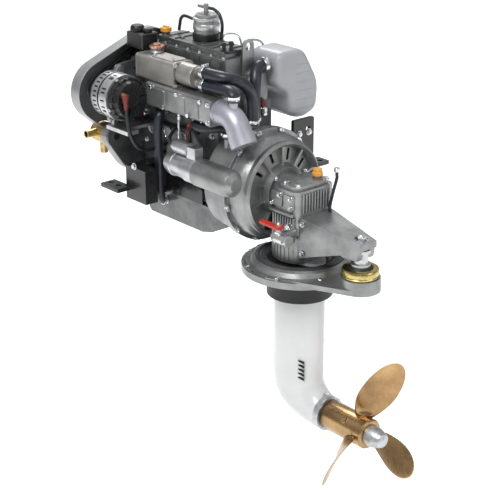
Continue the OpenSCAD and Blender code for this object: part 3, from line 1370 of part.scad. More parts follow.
module leg_housing() {
  rings = [for (k = [-1:leg_steps]) leg_ring(k)];
  bearing_z = [-boot_depth, bevel_wheel_r + bevel_face + bevel_gap - prop_depth];
  color("#e6e8ea") difference() {
    polyhedron([for (r = rings, p = r) p], concat(ring_faces(leg_sides, len(rings)), cap_faces(leg_sides, len(rings))));
    rod_z([-prop_depth, leg_top_z + cut], vertical_r + run_gap, 0, 0);
    rod_z([bearing_z[0], leg_top_z + cut], leg_shaft_bore, 0, 0);
    rod_z([bearing_z[1] + bearing_l, bearing_z[0] - bearing_l], leg_shaft_bore, 0, 0);
    rod_z([-prop_depth, bearing_z[1]], leg_shaft_bore, 0, 0);
    rod_x(gear_room_x, gear_room_r, 0, -prop_depth);
    rod_x([0, leg_end_x + cut], prop_shaft_r + run_gap, 0, -prop_depth);
    for (i = [0:slot_count - 1]) translate([slot_x, -leg_w / 2, slot_z - i * slot_pitch]) rotate([90, 0, 0])
      translate([0, 0, -slot_depth]) linear_extrude(slot_depth + cut)
      rounded([-slot_l / 2, slot_l / 2], [-slot_h / 2, slot_h / 2], slot_h / 2 - small_r / 8);
  }
}
module vertical_shaft() {
  tooth = bevel_face * pinion_teeth_r / bevel_wheel_r;
  color("#8d9094") {
    rod_z(vertical_z, vertical_r, 0, 0);
    translate([0, 0, -prop_depth + bevel_wheel_r - bevel_face + bevel_gap])
      cylinder(r1 = pinion_teeth_r - tooth, r2 = pinion_teeth_r, h = bevel_face);
    rod_z([vertical_z[0], -prop_depth + bevel_wheel_r + bevel_face], pinion_teeth_r, 0, 0);
    rod_z(cone_z, cone_r, 0, 0);
  }
}
module propeller_shaft() {
  tooth = bevel_face * pinion_teeth_r / bevel_wheel_r;
  color("#a5a8ac") {
    rod_x([pinion_teeth_r, prop_shaft_x[1]], prop_shaft_r, 0, -prop_depth);
    translate([pinion_teeth_r - tooth + bevel_gap, 0, -prop_depth]) rotate([0, 90, 0])
      cylinder(r1 = bevel_wheel_r - bevel_face, r2 = bevel_wheel_r - bevel_gap, h = tooth);
    rod_x([pinion_teeth_r + bevel_gap, pinion_teeth_r + bevel_face], bevel_wheel_r - bevel_gap, 0, -prop_depth);
  }
}
module anode_ring() {
  color("#c9ccd0") difference() {
    union() {
      rod_x(anode_x, anode_r, 0, -prop_depth);
      rod_x([anode_x[0], anode_x[1] - small_r], anode_lug_r, 0, -prop_depth + anode_r);
    }
    rod_x([anode_x[0] - cut, anode_x[1] + cut], anode_bore, 0, -prop_depth);
  }
}
// Place on a blade: s runs from the hub to the tip, u across the chord
function chord_share(s) = blend(blade_root_share, 1, sin(90 * min(1, s / 0.55)))
  * (s < 0.55 ? 1 : sqrt(max(0.0004, 1 - pow((s - 0.55) / 0.45, 2.4))));
function blade_point(s, u, side) =
  let (r = blend(hub_r - small_r, propeller_r, s), chord = blade_chord * chord_share(s),
    pitch_a = atan(blade_pitch / (2 * PI * r)), t = blend(blade_thick, blade_tip_thick, s) * (1 - pow(2 * u - 1, 2)) / 2 * side
      * min(1, chord_share(s) * 2),
    along = chord * (u - 0.5), arc = along * cos(pitch_a) - t * sin(pitch_a),
    x = blade_x + blade_rake * s + along * sin(pitch_a) + t * cos(pitch_a),
    a = arc / r * 180 / PI)
  [x, r * sin(a), r * cos(a)];
module blade() {
  n = 2 * blade_points - 2;
  polyhedron([for (i = [0:blade_sections], j = [0:n - 1])
    blade_point(i / blade_sections, j < blade_points ? j / (blade_points - 1) : (n - j) / (blade_points - 1),
      j == 0 || j == blade_points - 1 ? 0 : j < blade_points ? 1 : -1)],
    concat(ring_faces(n, blade_sections + 1), cap_faces(n, blade_sections + 1)));
}
module propeller() {
  color("#a98a5f") difference() {
    translate([0, 0, -prop_depth]) {
      rod_x(hub_x, hub_r);
      for (i = [0:blade_count - 1]) rotate([blade_start + 360 * i / blade_count, 0, 0]) blade();
    }
    rod_x([hub_x[0] - cut, hub_x[1] + cut], prop_shaft_r + run_gap, 0, -prop_depth);
    for (i = [0:blade_count - 1]) translate([blade_x, 0, -prop_depth]) rotate([blade_start + 360 * (i + 0.5) / blade_count, 0, 0])
      rod_z([hub_r - lock_hole_depth, hub_r + cut], lock_hole_r);
  }
}
module propeller_cone() {
  color("#c4c7cb") difference() {
    turned_x(hub_x[1] + seat_gap, 0, -prop_depth, [[0, 0], [cone_base_r, 0], [cone_base_r, cone_l / 4],
      [cone_base_r - small_r / 2, cone_l / 2], [cone_base_r / 2 + small_r, cone_l - small_r], [cone_base_r / 2 - small_r, cone_l], [0, cone_l]]);
    rod_x([hub_x[1] - cut, prop_shaft_x[1]], prop_shaft_r + run_gap, 0, -prop_depth);
  }
}

module sea_cock_body() {
  color("#c0c2c5") difference() {
    union() {
      rod_x([cock_x[0] + cock_spigot_l, cock_x[1]], cock_r, cock_y, cock_z);
      rod_x([cock_x[0], cock_x[0] + cock_spigot_l + cut], cock_spigot_r, cock_y, cock_z);
      rod_z([cock_z, cock_z + cock_r + cock_stem_h], cock_stem_r, cock_stem_x + cock_r, cock_y);
      rod_y([cock_y, cock_y + cock_r], cock_r - small_r / 2, cock_elbow_x, cock_z);
    }
    rod_x([cock_x[0] - cut, cock_x[0] + cock_spigot_l + small_r / 2], cock_spigot_bore, cock_y, cock_z);
  }
}
module sea_cock_handle() {
  z = cock_z + cock_r + cock_stem_h + seat_gap;
  x = cock_stem_x + cock_r;
  color("#cf3a24") plate_z([z, z + cock_handle_t])
    link_outline([x, cock_y], cock_handle_w / 2 + small_r / 2, [x - cock_handle_l, cock_y], cock_handle_w / 2);
}
module bolt_x(x, y, z) {
  translate([x, y, z]) rotate([0, 90, 0]) cylinder(r = bolt_r, h = bolt_h, $fn = 6);
}
module bolt_y(x, y, z) {
  translate([x, y, z]) rotate([90, 0, 0]) cylinder(r = bolt_r + small_r / 4, h = bolt_h, $fn = 6);
}
module bolt_z(x, y, z) {
  translate([x, y, z]) cylinder(r = bolt_r, h = bolt_h, $fn = 6);
}
module clamp(p, turn, r) {
  translate(p) rotate(turn) difference() {
    cylinder(r = r + spigot_wall, h = 2 * bolt_h);
    translate([0, 0, -cut]) cylinder(r = r + fit_gap, h = 2 * bolt_h + 2 * cut);
  }
}
module fasteners() {
  flange_bolt_r = (bell_flange_r + bell_r) / 2;
  lid_z = case_z[1] + case_lid_h;
  cap_p = route_cable[len(route_cable) - 1];
  color("#c8cacc") {
    for (i = [0:11]) translate([0, 0, crank_z]) rotate([30 * i + 15, 0, 0])
      if (i != 2) bolt_x(bell_x[0] + flange_l, 0, flange_bolt_r);
    for (i = [0:len(manifold_bolt_x) - 1])
      bolt_y(manifold_bolt_x[i], manifold_y[0], manifold_z[(i + 1) % 2] + (i % 2 * 2 - 1) * corner_r);
    for (x = [case_box_x0 + 2 * case_corner, case_x[1] - case_corner])
      bolt_z(x, -case_half_w + case_corner, lid_z);
    for (x = [top_x[0] + bore_pitch, top_x[1] - bore_pitch / 2])
      bolt_z(x, -top_y[1] / 2, step_top_z);
    for (route = [route_upper, route_lower]) clamp(route[0] + [small_r, 0, 0], [0, 90, 0], hose_r);
    clamp(route_breather[0] - [0, small_r / 2, 0], [90, 0, 0], hose_r);
    translate(cap_p + [0, 0, seat_gap]) cylinder(r = cable_cap_r, h = cable_cap_l);
  }
}

engine_block();
cylinder_head();
valve_cover();
oil_pan();
timing_cover();
flywheel_housing();
bell_housing();
belt_cover();
drive_belt();
alternator_body();
alternator_rear_cover();
alternator_bracket();
coolant_pump_body();
heat_exchanger();
exchanger_end_cap();
exhaust_manifold();
mixing_elbow();
intake_manifold();
intake_silencer();
rubber_hoses();
fuel_filter();
injection_pump();
injector_lines();
starter_motor();
starter_solenoid();
oil_filter();
raw_water_pump();
front_mount_bracket();
aft_mount_bracket();
gear_case();
mount_arm();
rear_isolator();
mounting_ring();
rubber_boot();
leg_housing();
anode_ring();
sea_cock_body();
fasteners();
crankshaft();
flywheel();
crank_pulley();
input_shaft();
camshaft();
idler_gear();
piston_front();
piston_middle();
piston_rear();
alternator_rotor();
coolant_pump_pulley();
raw_water_impeller();
starter_pinion();
oil_filler_cap();
propeller();
propeller_cone();
propeller_shaft();
vertical_shaft();
sea_cock_handle();
coolant_cap();
gear_oil_cap();
throttle_lever();
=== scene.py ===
"""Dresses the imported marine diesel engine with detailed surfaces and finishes.

Lengths are millimetres in the engine's own frame, X aft, Y to starboard and Z up, with the origin at the centre
of the mounting ring's underside. They become metres where a mesh is made. Angles are degrees.
"""
import json
import logging
import math
from dataclasses import dataclass, field
from enum import Enum
from typing import Iterable, Sequence

import bmesh
import bpy
import numpy as np
from mathutils import Matrix, Vector

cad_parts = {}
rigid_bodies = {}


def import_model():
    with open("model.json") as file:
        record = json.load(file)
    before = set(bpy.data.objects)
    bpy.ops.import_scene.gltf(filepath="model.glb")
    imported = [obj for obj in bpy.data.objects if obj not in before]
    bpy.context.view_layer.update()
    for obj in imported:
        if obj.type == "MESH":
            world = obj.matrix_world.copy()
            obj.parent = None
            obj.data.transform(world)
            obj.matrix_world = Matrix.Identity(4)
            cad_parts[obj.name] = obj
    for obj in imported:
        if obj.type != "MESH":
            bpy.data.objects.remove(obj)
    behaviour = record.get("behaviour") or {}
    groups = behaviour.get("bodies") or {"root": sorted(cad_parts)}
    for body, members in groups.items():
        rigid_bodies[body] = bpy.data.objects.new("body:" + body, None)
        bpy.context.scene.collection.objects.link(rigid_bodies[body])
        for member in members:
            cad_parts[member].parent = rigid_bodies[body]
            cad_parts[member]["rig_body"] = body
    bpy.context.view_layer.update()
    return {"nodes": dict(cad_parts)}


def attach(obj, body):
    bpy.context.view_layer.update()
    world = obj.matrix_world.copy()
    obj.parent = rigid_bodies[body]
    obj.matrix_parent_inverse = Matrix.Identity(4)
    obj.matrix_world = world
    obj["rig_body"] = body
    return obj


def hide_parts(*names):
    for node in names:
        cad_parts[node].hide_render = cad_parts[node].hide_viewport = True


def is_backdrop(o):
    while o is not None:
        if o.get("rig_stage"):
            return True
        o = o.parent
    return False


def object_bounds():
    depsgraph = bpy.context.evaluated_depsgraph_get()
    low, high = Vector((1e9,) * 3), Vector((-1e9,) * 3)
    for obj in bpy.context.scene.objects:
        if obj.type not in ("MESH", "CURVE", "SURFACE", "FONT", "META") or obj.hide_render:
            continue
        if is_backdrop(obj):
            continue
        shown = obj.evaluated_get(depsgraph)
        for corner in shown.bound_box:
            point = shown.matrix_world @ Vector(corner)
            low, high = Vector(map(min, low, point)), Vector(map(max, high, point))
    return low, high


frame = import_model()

LOG = logging.getLogger("engine")
MM = 0.001
ENGINE = "engine"
Point = Sequence[float]

ORIGIN = (0, 0, 0)
AFT, FORE = (1, 0, 0), (-1, 0, 0)
STARBOARD, PORT = (0, 1, 0), (0, -1, 0)
UP = (0, 0, 1)


class Axis(Enum):
    """The frame's axes, each with the two axes that lie square to it in cyclic order."""

    X = (0, 1, 2)
    Y = (1, 2, 0)
    Z = (2, 0, 1)


# ---- Shapes ----------------------------------------------------------------------------------------------


@dataclass
class Shape:
    """Points in millimetres, one row each, and the faces that join them."""

    points: np.ndarray
    faces: list[tuple[int, ...]]

    def __add__(self, other: "Shape") -> "Shape":
        """Both shapes as one, with the second's faces renumbered."""
        shift = len(self.points)
        faces = [tuple(i + shift for i in face) for face in other.faces]
        return Shape(np.vstack([self.points, other.points]), self.faces + faces)

    def moved(self, offset: Point) -> "Shape":
        """The shape carried along by an offset."""
        return Shape(self.points + np.asarray(offset, float), list(self.faces))

    def turned(self, angle: float, axis: Axis, centre: Point = ORIGIN) -> "Shape":
        """The shape turned about an axis through a centre, by the right-hand rule.

        Args:
            angle: Degrees.
            axis: The axis's direction.
            centre: A point on the axis.

        Returns:
            A new shape.
        """
        turn = np.array(Matrix.Rotation(math.radians(angle), 3, axis.name))
        middle = np.asarray(centre, float)
        return Shape((self.points - middle) @ turn.T + middle, list(self.faces))


def joined(shapes: Iterable[Shape]) -> Shape:
    """All the shapes as one."""
    total = Shape(np.zeros((0, 3)), [])
    for shape in shapes:
        total = total + shape
    return total


def grid(points: np.ndarray, hoop: bool = False) -> Shape:
    """A surface through rows of points: the face at row i, column j joins it to row i + 1 and column j + 1.

    Args:
        points: Rows, columns and coordinates. The last column meets the first.
        hoop: Whether the last row meets the first. If not, the first and last rows are filled.

    Returns:
        The surface.
    """
    rows, cols = points.shape[:2]
    i, j = np.meshgrid(np.arange(rows if hoop else rows - 1), np.arange(cols), indexing="ij")
    a = i * cols + j
    b = i * cols + (j + 1) % cols
    c = ((i + 1) % rows) * cols + (j + 1) % cols
    d = ((i + 1) % rows) * cols + j
    faces = [tuple(f) for f in np.stack([a, b, c, d], axis=-1).reshape(-1, 4).tolist()]
    if not hoop:
        faces += [tuple(range(cols - 1, -1, -1)), tuple(range((rows - 1) * cols, rows * cols))]
    return Shape(points.reshape(-1, 3), faces)


def placed(along: np.ndarray, u: np.ndarray, v: np.ndarray, axis: Axis, origin: Point) -> np.ndarray:
    """Coordinates from a length along an axis and the two lengths square to it."""
    out = np.zeros(along.shape + (3,))
    for value, k in zip((along, u, v), axis.value):
        out[..., k] = value
    return out + np.asarray(origin, float)


def turned_part(profile: Sequence[Point], axis: Axis = Axis.X, origin: Point = ORIGIN,
                sides: int = 48) -> Shape:
    """A lathe form: each profile point (length along the axis, radius) is carried round the axis.

    Args:
        profile: Points from end to end, closed by a cap where the radius isn't 0.
        axis: The axis of turning.
        origin: The place on the axis where the profile's lengths start.
        sides: Steps round the axis.

    Returns:
        A closed solid's surface.
    """
    p = np.asarray(profile, float)
    t = np.linspace(0, 2 * math.pi, sides, endpoint=False)
    radius = np.maximum(p[:, 1], 1e-3)[:, None]
    points = placed(np.repeat(p[:, :1], sides, 1), radius * np.cos(t), radius * np.sin(t), axis, origin)
    return grid(points)


def ring_part(profile: Sequence[Point], axis: Axis = Axis.X, origin: Point = ORIGIN,
              sides: int = 64) -> Shape:
    """A lathe form whose profile is a loop clear of the axis, so that it has a hole through it."""
    p = np.asarray(profile, float)
    t = np.linspace(0, 2 * math.pi, sides, endpoint=False)
    points = placed(np.repeat(p[:, :1], sides, 1), p[:, 1:] * np.cos(t), p[:, 1:] * np.sin(t), axis, origin)
    return grid(points, hoop=True)


def rounded_outline(a: Point, b: Point, r: float, steps: int = 6) -> np.ndarray:
    """A rectangle from a to b whose corners are quarter circles of radius r."""
    spots = [(b[0] - r, b[1] - r), (a[0] + r, b[1] - r), (a[0] + r, a[1] + r), (b[0] - r, a[1] + r)]
    t = np.radians(np.linspace(0, 90, steps + 1))
    arcs = [np.stack([u + r * np.cos(t + k * math.pi / 2), v + r * np.sin(t + k * math.pi / 2)], 1)
            for k, (u, v) in enumerate(spots)]
    return np.vstack(arcs)


def circle_outline(centre: Point, r: float, sides: int = 32) -> np.ndarray:
    """A circle, or with few sides a regular polygon."""
    t = np.linspace(0, 2 * math.pi, sides, endpoint=False)
    return np.stack([centre[0] + r * np.cos(t), centre[1] + r * np.sin(t)], 1)


def inset(outline: np.ndarray, depth: float) -> np.ndarray:
    """The outline drawn in: each point moves by the depth along the mean of its two edges' normals."""
    back = outline - np.roll(outline, 1, 0)
    ahead = np.roll(outline, -1, 0) - outline
    normals = []
    for edge in (back, ahead):
        length = np.maximum(np.linalg.norm(edge, axis=1, keepdims=True), 1e-9)
        normals.append(np.stack([-edge[:, 1], edge[:, 0]], 1) / length)
    mean = normals[0] + normals[1]
    size = np.maximum(np.sum(mean * mean, 1, keepdims=True) / 2, 0.5)
    return outline + depth * mean / size


def plate(outline: np.ndarray, axis: Axis, span: Point, bevel: float = 1.0) -> Shape:
    """An outline pushed along an axis, with both rims bevelled.

    Args:
        outline: Anticlockwise points on the two axes that follow the given one in cyclic order.
        axis: The direction of the push.
        span: The first and last place along it.
        bevel: Width of each bevel.

    Returns:
        A closed solid's surface.
    """
    small = inset(outline, bevel)
    rows = [(span[0], small), (span[0] + bevel, outline), (span[1] - bevel, outline), (span[1], small)]
    return grid(stacked(rows, axis))


def stacked(rows: Iterable[tuple[float, np.ndarray]], axis: Axis) -> np.ndarray:
    """Rows of points in space, each from a place along the axis and an outline square to it."""
    return np.stack([placed(np.full(len(o), x), o[:, 0], o[:, 1], axis, ORIGIN) for x, o in rows])


def block(low: Point, high: Point, corner: float, axis: Axis = Axis.Z, bevel: float = 1.0,
          steps: int = 6) -> Shape:
    """A box whose edges along one axis are rounded and whose other edges are bevelled."""
    k, u, v = axis.value
    outline = rounded_outline((low[u], low[v]), (high[u], high[v]), corner, steps)
    return plate(outline, axis, (low[k], high[k]), bevel)


def hexagon(centre: Point, r: float, axis: Axis, span: Point, bevel: float) -> Shape:
    """A six-sided prism with bevelled rims."""
    return plate(circle_outline(centre, r, 6), axis, span, bevel)


def spline(route: Sequence[Point], steps: int) -> np.ndarray:
    """A smooth curve through the route's points: each span is the cubic of its four nearest points.

    Args:
        route: The points, in order.
        steps: Points for each span.

    Returns:
        The curve's points.
    """
    p = np.asarray(route, float)
    ends = np.vstack([p[:1], p, p[-1:]])
    t = np.linspace(0, 1, steps, endpoint=False)[None, :, None]
    a, b, c, d = (ends[k:k + len(p) - 1, None, :] for k in range(4))
    curve = (2 * b + (c - a) * t + (2 * a - 5 * b + 4 * c - d) * t ** 2 + (3 * b - a - 3 * c + d) * t ** 3) / 2
    return np.vstack([curve.reshape(-1, 3), p[-1:]])


def tube(path: np.ndarray, radius: float | np.ndarray, sides: int = 20) -> Shape:
    """A tube along a path: each ring lies square to it and is carried on from the one before without twist."""
    ways = np.gradient(path, axis=0)
    ways /= np.linalg.norm(ways, axis=1, keepdims=True)
    side = np.cross(ways[0], (0, 0, 1.0) if abs(ways[0][2]) < 0.8 else (0, 1.0, 0))
    frames = []
    for way in ways:
        side = side - way * (side @ way)
        side = side / np.linalg.norm(side)
        frames.append((side, np.cross(way, side)))
    t = np.linspace(0, 2 * math.pi, sides, endpoint=False)[None, :, None]
    s = np.array([f[0] for f in frames])[:, None, :]
    c = np.array([f[1] for f in frames])[:, None, :]
    r = np.broadcast_to(np.asarray(radius, float), (len(path),))[:, None, None]
    return grid(path[:, None, :] + r * (np.cos(t) * s + np.sin(t) * c))


def cable(route: Sequence[Point], steps: int, r: float, sides: int) -> Shape:
    """A tube of one radius along the spline through a route."""
    return tube(spline(route, steps), r, sides)


def corrugated(route: Sequence[Point], r: float, pitch: float = 3.2) -> Shape:
    """A ribbed sleeve: the tube's radius swells by a twelfth as a sine of the length along it."""
    curve = spline(route, 24)
    run = np.concatenate([[0], np.cumsum(np.linalg.norm(np.diff(curve, axis=0), axis=1))])
    even = np.linspace(0, run[-1], max(int(run[-1] / pitch * 4), 8))
    path = np.stack([np.interp(even, run, curve[:, k]) for k in range(3)], 1)
    return tube(path, r * (1 + np.sin(2 * math.pi * even / pitch) / 12), 14)


def shifted(route: Sequence[Point], offset: Point) -> np.ndarray:
    """A route's points carried along by an offset."""
    return np.asarray(route, float) + offset


def spread(count: int, start: float = 0) -> list[float]:
    """Angles that share out a full turn, from a first one on."""
    return [360 * i / count + start for i in range(count)]


def around(shape: Shape, angles: Iterable[float], centre: Point) -> list[Shape]:
    """Copies of a shape, turned by each angle about the line along X through a centre."""
    return [shape.turned(angle, Axis.X, centre) for angle in angles]


def on_circle(r: float, turns: Iterable[float], z: float) -> list[Point]:
    """Points on a circle about the vertical through the origin, one for each turn in radians."""
    return [(r * math.cos(a), r * math.sin(a), z) for a in turns]


def along_segment(shape: Shape, place: Point, way: Point) -> Shape:
    """A shape made along +X at the origin, turned to point along a direction and moved to a place."""
    turn = np.array(Vector((1, 0, 0)).rotation_difference(Vector(way).normalized()).to_matrix())
    return Shape(shape.points @ turn.T + np.asarray(place, float), list(shape.faces))


def hex_bolt(place: Point, way: Point, r: float = 5.5, h: float = 5.0, washer: float = 1.35) -> Shape:
    """A hexagon head with a domed top on a washer, seated at a place and pointing along a direction."""
    disc = turned_part([(-0.4, 0), (-0.4, r * washer), (1.0, r * washer), (1.3, r * washer - 0.3), (1.3, 0)],
                       sides=24)
    head = hexagon((0, 0), r, Axis.X, (1.2, 1.2 + h), 0.7)
    stud = turned_part([(h, 0), (h, r * 0.45), (h + 2.4, r * 0.45), (h + 2.9, r * 0.3), (h + 2.9, 0)], sides=12)
    return along_segment(disc + head + stud, place, way)


def hex_bolts(places: Iterable[Point], way: Point, r: float, h: float) -> list[Shape]:
    """Alike hexagon bolts that all point one way."""
    return [hex_bolt(place, way, r, h) for place in places]


def socket_bolt(place: Point, way: Point, r: float = 4.5, h: float = 5.0) -> Shape:
    """A round cap screw with a sunk socket."""
    profile = [(-0.4, 0), (-0.4, r), (h - 0.5, r), (h, r - 0.5), (h, r * 0.55), (h - 2.2, r * 0.5),
               (h - 2.2, 0)]
    return along_segment(turned_part(profile, sides=20), place, way)


def core_plug(r: float, seat: float, lip: float) -> Shape:
    """A pressed cup that closes a casting's core hole: a rim round a dished face.

    Args:
        r: Its radius.
        seat: Where its back lies along X.
        lip: Inner radius of the rim.

    Returns:
        The cup, facing along +X.
    """
    return ring_part([(seat, 0.4), (seat, r), (2.2, r), (2.8, r - 0.8), (2.8, lip), (0.8, r - 4), (0.8, 0.4)],
                     sides=40)


# ---- Finishes --------------------------------------------------------------------------------------------


def linear(colour: str) -> tuple[float, float, float, float]:
    """An sRGB hex colour as linear values."""
    parts = [int(colour[i:i + 2], 16) / 255 for i in (1, 3, 5)]
    out = [c / 12.92 if c <= 0.04045 else ((c + 0.055) / 1.055) ** 2.4 for c in parts]
    return (out[0], out[1], out[2], 1.0)


def add_node(tree: bpy.types.NodeTree, kind: str, links: dict[str, bpy.types.NodeSocket] | None = None,
             inputs: dict[str, object] | None = None, **settings: object) -> bpy.types.Node:
    """Adds one node with its settings, input values and links.

    Args:
        tree: The material's tree.
        kind: The node type's name.
        links: Input name to the socket that feeds it.
        inputs: Input name to value.
        **settings: Attributes of the node.

    Returns:
        The node.
    """
    node = tree.nodes.new(kind)
    for name, value in settings.items():
        setattr(node, name, value)
    for name, value in (inputs or {}).items():
        node.inputs[int(name) if name.isdigit() else name].default_value = value
    for name, socket in (links or {}).items():
        tree.links.new(socket, node.inputs[int(name) if name.isdigit() else name])
    return node


@dataclass(frozen=True)
class Finish:
    """A surface finish: a mottled colour, an uneven gloss and a grain, each at a real size in millimetres.

    Attributes:
        name: What the material is and how it was made.
        slot: The record's material slot for pieces; not used by this script. Finishes of copied nodes alone
            need none.
        colour: The main colour.
        deep: The colour of its darker patches.
        metallic: 1 for bare metal.
        rough: Mean roughness.
        spread: How far the roughness strays.
        patch: Width of the patches.
        grain: Width of the surface's grain.
        relief: Height of the grain.
        coat: Strength of a clear gloss coat.
    """

    name: str
    slot: str
    colour: str
    deep: str
    metallic: float = 0.0
    rough: float = 0.5
    spread: float = 0.1
    patch: float = 40.0
    grain: float = 2.0
    relief: float = 0.2
    coat: float = 0.0

    def material(self) -> bpy.types.Material:
        """The finish's material, built once."""
        done = bpy.data.materials.get(self.name)
        if done:
            return done
        made = bpy.data.materials.new(self.name)
        made.use_nodes = True
        tree = made.node_tree
        tree.nodes.clear()
        place = add_node(tree, "ShaderNodeTexCoord").outputs["Object"]
        patches = add_node(tree, "ShaderNodeTexNoise", {"Vector": place},
                           {"Scale": 1000 / self.patch, "Detail": 5.0, "Roughness": 0.6}).outputs["Fac"]
        even = add_node(tree, "ShaderNodeMapRange", {"Value": patches}, {"From Min": 0.34, "From Max": 0.62},
                        clamp=True).outputs["Result"]
        colour = add_node(tree, "ShaderNodeMix", {"Factor": even},
                          {"6": linear(self.deep), "7": linear(self.colour)}, data_type="RGBA").outputs[2]
        fine = add_node(tree, "ShaderNodeTexNoise", {"Vector": place},
                        {"Scale": 1000 / self.grain, "Detail": 3.0, "Roughness": 0.55}).outputs["Fac"]
        rough = add_node(tree, "ShaderNodeMapRange", {"Value": fine},
                         {"From Min": 0.3, "From Max": 0.7, "To Min": max(self.rough - self.spread, 0.03),
                          "To Max": min(self.rough + self.spread, 1.0)}, clamp=True).outputs["Result"]
        bump = add_node(tree, "ShaderNodeBump", {"Height": fine},
                        {"Strength": self.relief, "Distance": self.grain * 0.25 * MM}).outputs["Normal"]
        shader = add_node(tree, "ShaderNodeBsdfPrincipled",
                          {"Base Color": colour, "Roughness": rough, "Normal": bump},
                          {"Metallic": self.metallic, "Coat Weight": self.coat, "Coat Roughness": 0.12})
        add_node(tree, "ShaderNodeOutputMaterial", {"Surface": shader.outputs["BSDF"]})
        return made


# Sand-cast aluminium under grey engine enamel: soft satin gloss over a 2 mm sand grain
GREY_CASTING = Finish("enamelled_sand_casting", "grey_casting", "#9a9b9a", "#7d7f80",
                      0.75, 0.36, 0.1, 60, 2.2, 0.3)
# The same enamel on iron, which looks darker and smoother
DARK_CASTING = Finish("enamelled_cast_iron", "dark_casting", "#7b7c7c", "#5c5e60",
                      0.7, 0.36, 0.12, 50, 1.8, 0.3)
# Steel pressing under grey enamel
GREY_PRESSING = Finish("enamelled_steel_pressing", "dark_casting", "#a3a4a5", "#929496",
                       0.6, 0.34, 0.06, 90, 3.0, 0.06)
# Die-cast aluminium left bare: bright, faintly grained
DIE_CAST = Finish("bare_die_cast_aluminium", "bright_alloy", "#d3d4d6", "#b2b4b7",
                  0.95, 0.36, 0.1, 30, 1.6, 0.25)
# Cast stainless steel, bead-blasted: the exhaust elbow
SATIN_STEEL = Finish("bead_blasted_stainless_casting", "", "#b4b6bf", "#a3a5af",
                     0.6, 0.42, 0.05, 60, 3.0, 0.03)
# Bright zinc-plated steel of bolts and clamps
PLATED = Finish("bright_zinc_plated_steel", "steel", "#dcdee0", "#c2c5c9", 1.0, 0.22, 0.07, 12, 1.0, 0.1)
# Turned steel with a soft sheen
TURNED_STEEL = Finish("turned_steel", "steel", "#9c9ea1", "#7d8084", 1.0, 0.34, 0.1, 30, 0.8, 0.15)
# Black enamel on welded steel brackets
BLACK_ENAMEL = Finish("black_enamelled_steel", "black_steel", "#1a1a1c", "#101012",
                      0.0, 0.3, 0.05, 60, 3.0, 0.03, 0.3)
# Nitrile and EPDM hose: blue-black with a waxy gloss
HOSE_RUBBER = Finish("extruded_hose_rubber", "black_rubber", "#232833", "#171a22",
                     0.0, 0.36, 0.1, 25, 1.2, 0.15)
# Moulded rubber of the boot and the belt
SOFT_RUBBER = Finish("moulded_rubber", "black_rubber", "#1a1a1c", "#101011", 0.0, 0.55, 0.1, 25, 1.2, 0.25)
# Ribbed diaphragm of the ring: grey-black rubber with a waxy sheen
DIAPHRAGM = Finish("moulded_diaphragm_rubber", "black_rubber", "#47494b", "#343637",
                   0.0, 0.32, 0.06, 40, 1.5, 0.1)
# Glass-filled nylon
BLACK_NYLON = Finish("moulded_black_nylon", "black_plastic", "#19191b", "#101012",
                     0.0, 0.42, 0.08, 30, 0.9, 0.2)
# Grey polypropylene of the air silencer, vacuum moulded, satin
GREY_PLASTIC = Finish("moulded_grey_polypropylene", "grey_plastic", "#a9abb0", "#9b9da2",
                      0.0, 0.36, 0.05, 120, 1.5, 0.12)
# Gloss white polyurethane over an aluminium leg
WHITE_ENAMEL = Finish("white_leg_enamel", "white_paint", "#dcdddd", "#d5d6d7",
                      0.0, 0.24, 0.04, 140, 6.0, 0.05, 0.3)
# Sand-cast manganese bronze, ground and polished
BRONZE = Finish("polished_propeller_bronze", "bronze", "#b7966a", "#8d7050", 1.0, 0.28, 0.03, 90, 6.0, 0.01)
# Yellow cast brass
BRASS = Finish("cast_brass", "brass", "#cdb27a", "#aa8b52", 1.0, 0.36, 0.1, 18, 1.5, 0.25)
# Zinc anode metal: dull and slightly crystalline
ZINC = Finish("cast_zinc_anode", "", "#c6c9cc", "#aaadb1", 0.9, 0.42, 0.12, 10, 2.0, 0.3)
# Yellow-passivated zinc plate of the isolator's cup
YELLOW_PLATE = Finish("yellow_passivated_steel", "gold_plate", "#cdbd82", "#ab9350",
                      1.0, 0.24, 0.08, 14, 1.2, 0.1)
# Red vinyl of levers and of the dipstick
RED_PLASTIC = Finish("moulded_red_vinyl", "red_plastic", "#c5321f", "#a82818", 0.0, 0.35, 0.06, 20, 1.0, 0.1)
# Amber nylon of the oil caps
AMBER_PLASTIC = Finish("moulded_amber_cap", "", "#e2a23b", "#cc8a28", 0.0, 0.35, 0.06, 20, 1.0, 0.1)
# Copper-pink pressed cap, tin over brass
PINK_CAP = Finish("tinned_brass_cap", "", "#d1a58c", "#b98870", 0.9, 0.28, 0.08, 12, 1.0, 0.1)
# Warm grey enamel of the coolant tank
WARM_CASTING = Finish("warm_grey_enamelled_casting", "warm_grey", "#a5a39f", "#918f8b",
                      0.6, 0.38, 0.1, 60, 2.0, 0.3)
# Painted shade: a near-black finish laid where the insides of slots, vents and seams fall in shade
VENT_PAINTED_SHADE = Finish("unlit_vent_black", "black_plastic", "#0b0b0c", "#060607", 0.0, 0.8, 0.05, 20, 2.0, 0.1)
# Red-brown rubber cover of a terminal
RED_BOOT = Finish("moulded_red_rubber", "red_plastic", "#7a2f2a", "#571f1d", 0.0, 0.5, 0.08, 14, 1.0, 0.2)


# ---- Pieces ----------------------------------------------------------------------------------------------


